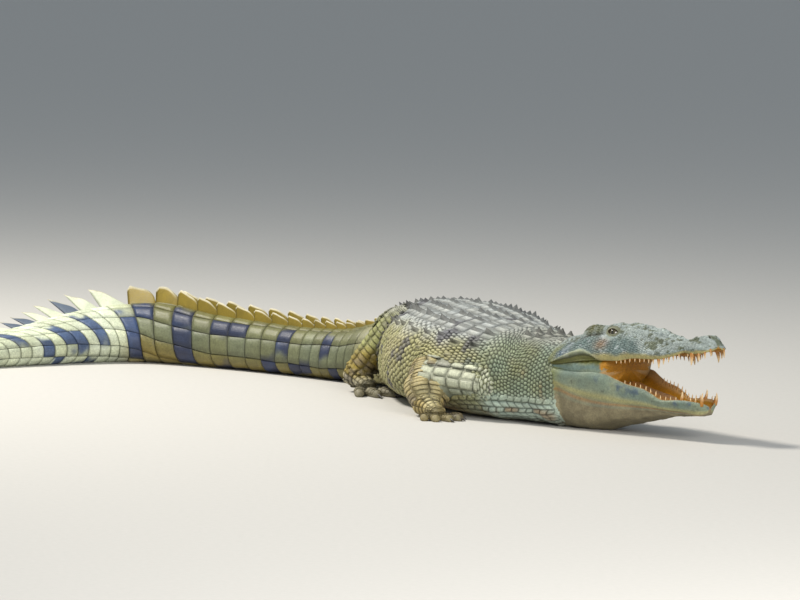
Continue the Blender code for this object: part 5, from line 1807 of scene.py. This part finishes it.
def crest_blades():
    """Fins of the crest: each a blade that rises along the whorl to a point over its rear, leans
    back, and thins towards its edge.  Returns points, faces, colours and unwrapped places."""
    a = np.linspace(0.0, 1.0, 13)[:, None]
    b = np.linspace(-1.0, 1.0, 15)[None, :]
    t = 1 - np.abs(b)
    points, colours, places = [], [], []
    for at, after in zip(WHORLS[:-1], WHORLS[1:]):
        merged = at > CREST_MERGE - 0.03
        for side in ((0.0,) if merged else (-1.0, 1.0)):
            u = at + (after - at) * (-0.03 + 1.05 * a[:, 0])
            v = side * (crest_share(at) + (crest_share(after) - crest_share(at)) * a[:, 0])
            tall = float(ease(after, CREST_AT, CREST_TALL))
            foot = BODY_PATCH.place(u, v, -0.004)
            lean = math.radians(float(ease(after, ROLL_AT, ROLL)))
            angle = float(heading(after))
            over = np.array([math.sin(angle), math.cos(angle), 0.0])
            up = math.sin(lean) * over + np.array([0.0, 0.0, math.cos(lean)])
            back = foot[-1] - foot[0]
            back = back / np.linalg.norm(back)
            splay = BODY_PATCH.normal(u[6:7], v[6:7])[0]
            up = up + 0.30 * splay * abs(side)
            up = up - back * float(up @ back)
            up = up / np.linalg.norm(up)
            out = np.cross(back, up)
            profile = ease(a, FIN_AT, FIN_TALL)
            sharp = float(ramp(at, 2.02, 2.075))
            profile = profile + sharp * (ease(a, (0.0, 0.5, 1.0), (0.06, 0.62, 1.0)) - profile)
            rise = (tall + 0.004) * profile
            wave = 0.03 * tall * np.sin(9 * a + 37.0 * at)
            thick = 0.5 * min(0.011, 0.35 * tall + 0.004) * np.clip(1 - t, 0.0, 1.0) ** 0.75 + 0.0007
            pinch = np.sin(np.pi * np.clip(a, 0.0, 1.0)) ** 0.4 + 0.02
            p = foot[:, None, :] + (rise * t + wave * t ** 3)[..., None] * up
            p = p + ((0.10 + 0.34 * sharp) * tall * t * (0.15 + 0.85 * a ** 2))[..., None] * back
            p = p + (thick * pinch * np.sign(b))[..., None] * out
            base = markings(BODY_PATCH, u, v + 0.03 * (side or 1.0), foot)
            dark = float(np.abs(np.array(DARK_FINS) - after).min() < 0.012)
            # fin colour: ochre on the double crest, partly painted backlit glow; pale on the single crest,
            # partly painted sunlight
            body = mix([(0.205, 0.148, 0.014)], (0.560, 0.600, 0.450), float(sharp > 0.5))
            body = mix(body, (0.030, 0.055, 0.130), 0.88 * dark)
            tint = mix(base[:, None, :] * 0.9, body[None, :, :], ramp(t, 0.0, 0.20) + 0 * a)
            # pale rim along the fin's upper edge: painted highlight of its backlit edge
            rim = ramp(t, 0.90, 1.0) * (0.35 + 0.65 * ramp(a, 0.1, 0.5))
            tint = mix(tint, (0.640, 0.610, 0.470), rim)
            shadow = 0.45 * (1 - ramp(t, 0.0, 0.12)) + 0.5 * ramp(a, 0.93, 1.0) * (1 - rim)
            tint = tint * (1 - shadow)[..., None]
            points.append(p)
            colours.append(tint)
            home = BODY_PATCH.unwrap(u[6], v[6])
            places.append(home + ISLAND * np.stack(np.broadcast_arrays(2 * a - 1, b), -1))
    rows, columns = points[0].shape[:2]
    ends = np.stack([np.arange(columns), (rows - 1) * columns + np.arange(columns)[::-1]])
    faces = [repeated(part, len(points), rows * columns) for part in (grid_quads(rows, columns), ends)]
    points, colours, places = (
        np.concatenate([x.reshape(-1, x.shape[-1]) for x in group]) for group in (points, colours, places)
    )
    return points, faces, colours, places


class CROC_OT_crest(bpy.types.Operator):
    """The crest of the tail, double in front and single behind"""

    bl_idname = "croc.crest"
    bl_label = "Crest"

    def execute(self, context):
        points, faces, colours, places = crest_blades()
        points[:, 2] = np.maximum(points[:, 2], FLOOR_CLEAR)
        mesh = mesh_of("crest", points, faces)
        paint(mesh, "tint", np.clip(colours, 0, 1), "POINT")
        bake_map(mesh, places)
        mesh.materials.append(hide_material("hide_crest", 260.0, 0.15, 0.42, speckle=0.10))
        obj = wrap("crest", mesh)
        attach(obj, "root")
        return {"FINISHED"}


class CROC_OT_back_scutes(bpy.types.Operator):
    """Keeled scutes of back and nape"""

    bl_idname = "croc.back_scutes"
    bl_label = "Back scutes"

    def execute(self, context):
        sizes = context.scene.croc_scales
        rows = np.linspace(0.250, 1.105, 18)
        nodes = shaken(lattice(rows, np.linspace(-0.135, 0.135, 7)), 0.05, 91)
        strength = np.random.default_rng(92).uniform(0.30, 1.08, (17, 6))
        strength = (strength * np.array([1.1, 0.85, 0.70, 0.70, 0.85, 1.1])).reshape(-1)
        look = dict(gap=0.06, round_off=0.45, peak=0.35)
        runs = [plates(BODY_PATCH, nodes, sizes.plate + 0.001, sizes.keel * strength, **look)]
        nape = shaken(lattice(np.array([0.125, 0.163, 0.203]), np.linspace(-0.088, 0.088, 5)), 0.06, 93)
        runs.append(plates(BODY_PATCH, nape, 0.0045, sizes.nape, gap=0.05, round_off=0.8, peak=0.3))
        nape = shaken(lattice(np.array([0.058, 0.078]), np.linspace(-0.11, 0.11, 7)), 0.06, 94)
        runs.append(plates(BODY_PATCH, nape, 0.004, 0.007, gap=0.16, round_off=0.9, peak=0.3))
        for side in (-1, 1):
            for index in range(14):
                at = 0.285 + 0.060 * index
                level = side * (0.163 + 0.006 * math.sin(index * 2.1))
                node = lattice(np.array([at - 0.017, at + 0.019]), np.array([level - 0.016, level + 0.016]))
                tall = 0.019 if index % 3 != 2 else 0.010
                runs.append(plates(BODY_PATCH, node, 0.0050, tall, gap=0.0, round_off=0.9, peak=0.35))
                if index % 2:
                    across = np.array([level, level + 0.022]) + side * 0.030
                    node = lattice(np.array([at - 0.011, at + 0.013]), across)
                    runs.append(plates(BODY_PATCH, node, 0.0045, 0.006, gap=0.0, round_off=0.9, peak=0.35))
        scale_piece("back_scutes", runs, hide_material("hide_scute", 260.0, 0.5, 0.48))
        return {"FINISHED"}


class CROC_OT_flank_scales(bpy.types.Operator):
    """Rounded scales of the flanks"""

    bl_idname = "croc.flank_scales"
    bl_label = "Flank scales"

    def execute(self, context):
        high = context.scene.croc_scales.pebble
        runs = []
        for side in (1, -1):
            def level(u, side=side):
                return side * (0.137 + 0 * u), side * (0.372 - 0.080 * (1 - ramp(u, 0.42, 0.50)))
            runs.append(pebbles(BODY_PATCH, (0.235, 1.135), level, 64, 17, high, 101 + side))
        scale_piece("flank_scales", runs, hide_material("hide_flank", 300.0, 0.4, 0.44))
        return {"FINISHED"}


class CROC_OT_neck_scales(bpy.types.Operator):
    """Small scales of the neck"""

    bl_idname = "croc.neck_scales"
    bl_label = "Neck scales"

    def execute(self, context):
        high = context.scene.croc_scales.granule
        runs = []
        for side in (1, -1):
            def level(u, side=side):
                return side * (0.008 + 0.084 * bell(u, 0.163, 0.040)), side * (0.292 + 0 * u)
            runs.append(pebbles(BODY_PATCH, (0.022, 0.262), level, 24, 19, high, 111 + side, 0.2))
            nodes = lattice(np.linspace(0.022, 0.480, 21), np.linspace(0.290, 0.374, 5))
            nodes[..., 0] += 0.010 * (np.arange(5) % 2)
            nodes = shaken(nodes, 0.08, 115 + side) * np.array([1.0, side])
            runs.append(plates(BODY_PATCH, nodes, 1.1 * high, gap=0.04, round_off=0.30, overlap=0.3))
        scale_piece("neck_scales", runs, hide_material("hide_neck", 320.0, 0.4, 0.44))
        return {"FINISHED"}


class CROC_OT_belly_scales(bpy.types.Operator):
    """Oblong plates in rows across the belly and under the neck"""

    bl_idname = "croc.belly_scales"
    bl_label = "Belly scales"

    def execute(self, context):
        sizes = context.scene.croc_scales
        nodes = shaken(lattice(np.linspace(0.030, 1.120, 44), np.linspace(0.372, 0.628, 13)), 0.05, 121)
        runs = [plates(BODY_PATCH, nodes, sizes.plate, gap=0.045, round_off=0.22, overlap=0.3)]
        scale_piece("belly_scales", runs, hide_material("hide_belly", 280.0, 0.3, 0.40))
        return {"FINISHED"}


def limb_runs(name, sizes, seed):
    """Scales of one limb: large lozenges above, bands across below, small ones on the digits."""
    segments, toes = LIMBS[name]
    counts = ((5, 9), (16, 7), (7, 8)) if name.startswith("fore") else ((15, 10), (22, 7), (7, 9))
    spans = ((-0.22, 0.98), (-0.88, 1.02), (-0.20, 1.40))
    runs = []
    for segment, (rows, columns), (first, last) in zip(segments, counts, spans):
        nodes = lattice(np.linspace(first, last, rows + 1), np.linspace(0, 2 * np.pi, columns + 1))
        nodes = shaken(nodes, 0.07, seed)
        nodes[:, -1, 0] = nodes[:, 0, 0]
        nodes[:, -1, 1] = nodes[:, 0, 1] + 2 * np.pi
        runs.append(plates(segment, nodes, 0.9 * sizes.plate, gap=0.05, round_off=0.30, overlap=0.5))
    rows = 5 if name.startswith("fore") else 7

    def all_round(u):
        return -np.pi + 0 * u, np.pi + 0 * u

    runs.append(pebbles(segments[0], (-0.93, -0.20), all_round, rows, 12, sizes.pebble, seed + 2))
    for toe in toes:
        nodes = lattice(np.linspace(-0.15, 0.96, 9), np.linspace(-1.5, 1.5, 4))
        runs.append(plates(toe, shaken(nodes, 0.05, seed + 1), 0.0016, gap=0.05, round_off=0.4, overlap=0.4))
    return runs


class CROC_OT_head_scales(bpy.types.Operator):
    """Low rough bumps over snout, cheeks and skull"""

    bl_idname = "croc.head_scales"
    bl_label = "Head scales"

    def execute(self, context):
        high = context.scene.croc_scales.knob
        runs = []
        for side in (1, -1):
            def level(u, side=side):
                return np.pi - side * (0.02 + 0 * u), np.pi - side * (1.52 + 0 * u)
            runs.append(pebbles(CRANIUM_PATCH, (0.004, 0.489), level, 55, 17, high, 151 + side, 0.34, 0.42))
        scale_piece("head_scales", runs, hide_material("hide_head", 420.0, 0.4, 0.46))
        return {"FINISHED"}


class CROC_OT_limb_scales(bpy.types.Operator):
    """Scales of the legs"""

    bl_idname = "croc.limb_scales"
    bl_label = "Limb scales"

    def execute(self, context):
        sizes = context.scene.croc_scales
        material = hide_material("hide_limb", 280.0, 0.4, 0.42)
        for index, name in enumerate(LIMBS):
            scale_piece(name + "_scales", limb_runs(name, sizes, 131 + index), material)
        return {"FINISHED"}


# ---------------------------------------------------------------- stage
# the camera: degrees that it looks down by and is rolled by, and how far it is from the throat,
# which lies to the right of the view's middle and below it
CAMERA_LIFT = 5.0
CAMERA_ROLL = 1.5
CAMERA_AWAY = 20.0
THROAT_REST = (OCCIPUT[0] + 0.023, OCCIPUT[1] - 0.124, 0.0)
THROAT_RIGHT = 0.526
THROAT_BELOW = 0.3472


def area_light(name, place, aim, size, power, colour):
    """A round soft light at a place, turned towards its aim."""
    data = bpy.data.lights.new(name, "AREA")
    data.shape = "DISK"
    data.size = size
    data.energy = power
    data.color = colour
    light = bpy.data.objects.new(name, data)
    bpy.context.scene.collection.objects.link(light)
    way = Vector(aim) - Vector(place)
    light.matrix_world = Matrix.Translation(place) @ way.to_track_quat("-Z", "Y").to_matrix().to_4x4()


class CROC_OT_stage(bpy.types.Operator):
    """Floor, soft lights and camera"""

    bl_idname = "croc.stage"
    bl_label = "Stage"

    def execute(self, context):
        stage = context.scene.croc_stage
        half = stage.floor / 2
        corners = np.array([[-half, -half, 0], [half, -half, 0], [half, half, 0], [-half, half, 0]])
        mesh = mesh_of("floor", corners, [np.array([[0, 1, 2, 3]])])
        mesh.materials.append(floor_material())
        floor = wrap("floor", mesh)
        world = bpy.data.worlds.new("even_sky")
        world.use_nodes = True
        sky = world.node_tree.nodes["Background"]
        sky.inputs["Color"].default_value = (0.80, 0.90, 1.0, 1.0)
        sky.inputs["Strength"].default_value = stage.sky
        context.scene.world = world
        context.scene.view_settings.view_transform = "Standard"
        area_light("key", (-2.6, 0.6, 4.6), (0.1, -0.1, 0.1), 1.3, stage.key, (1.0, 0.95, 0.86))
        area_light("fill", (2.5, -6.5, 2.6), (0.1, 0.0, 0.1), 4.0, stage.fill, (1.0, 0.97, 0.92))
        lift = math.radians(CAMERA_LIFT)
        roll = math.radians(CAMERA_ROLL)
        ahead = np.array([0.0, math.cos(lift), -math.sin(lift)])
        level = np.array([1.0, 0.0, 0.0])
        upright = np.cross(level, ahead)
        right = level * math.cos(roll) + upright * math.sin(roll)
        above = upright * math.cos(roll) - level * math.sin(roll)
        throat = np.array(THROAT_REST)
        place = throat - CAMERA_AWAY * ahead - THROAT_RIGHT * right + THROAT_BELOW * above
        data = bpy.data.cameras.new("camera")
        data.lens = stage.lens
        data.sensor_width = 36.0
        data.clip_end = 200.0
        camera = bpy.data.objects.new("camera", data)
        turn = Matrix([list(right), list(above), list(-ahead)]).transposed().to_4x4()
        camera.matrix_world = Matrix.Translation(place.tolist()) @ turn
        context.scene.collection.objects.link(camera)
        context.scene.camera = camera
        return {"FINISHED"}


class CROC_PT_build(bpy.types.Panel):
    """The pieces, in the order in which they are made"""

    bl_idname = "CROC_PT_build"
    bl_label = "Crocodile"
    bl_space_type = "VIEW_3D"
    bl_region_type = "UI"
    bl_category = "Crocodile"

    def draw(self, context):
        for step in STEPS:
            self.layout.operator(step.bl_idname)
        for group in (context.scene.croc_scales, context.scene.croc_head, context.scene.croc_stage):
            box = self.layout.box()
            for key in group.__annotations__:
                box.prop(group, key)


STEPS = (
    CROC_OT_skin, CROC_OT_eyes, CROC_OT_teeth, CROC_OT_tongue, CROC_OT_claws, CROC_OT_tail_scales,
    CROC_OT_crest, CROC_OT_back_scutes, CROC_OT_flank_scales, CROC_OT_neck_scales, CROC_OT_belly_scales,
    CROC_OT_head_scales, CROC_OT_limb_scales, CROC_OT_stage,
)
CLASSES = (CrocodileScales, CrocodileHead, CrocodileStage, *STEPS, CROC_PT_build)


def register():
    for cls in CLASSES:
        bpy.utils.register_class(cls)
    bpy.types.Scene.croc_scales = PointerProperty(type=CrocodileScales)
    bpy.types.Scene.croc_head = PointerProperty(type=CrocodileHead)
    bpy.types.Scene.croc_stage = PointerProperty(type=CrocodileStage)


def unregister():
    for name in ("croc_stage", "croc_head", "croc_scales"):
        delattr(bpy.types.Scene, name)
    for cls in reversed(CLASSES):
        bpy.utils.unregister_class(cls)


def main():
    register()
    for step in STEPS:
        getattr(bpy.ops.croc, step.bl_idname.split(".")[1])()


if __name__ == "__main__":
    main()
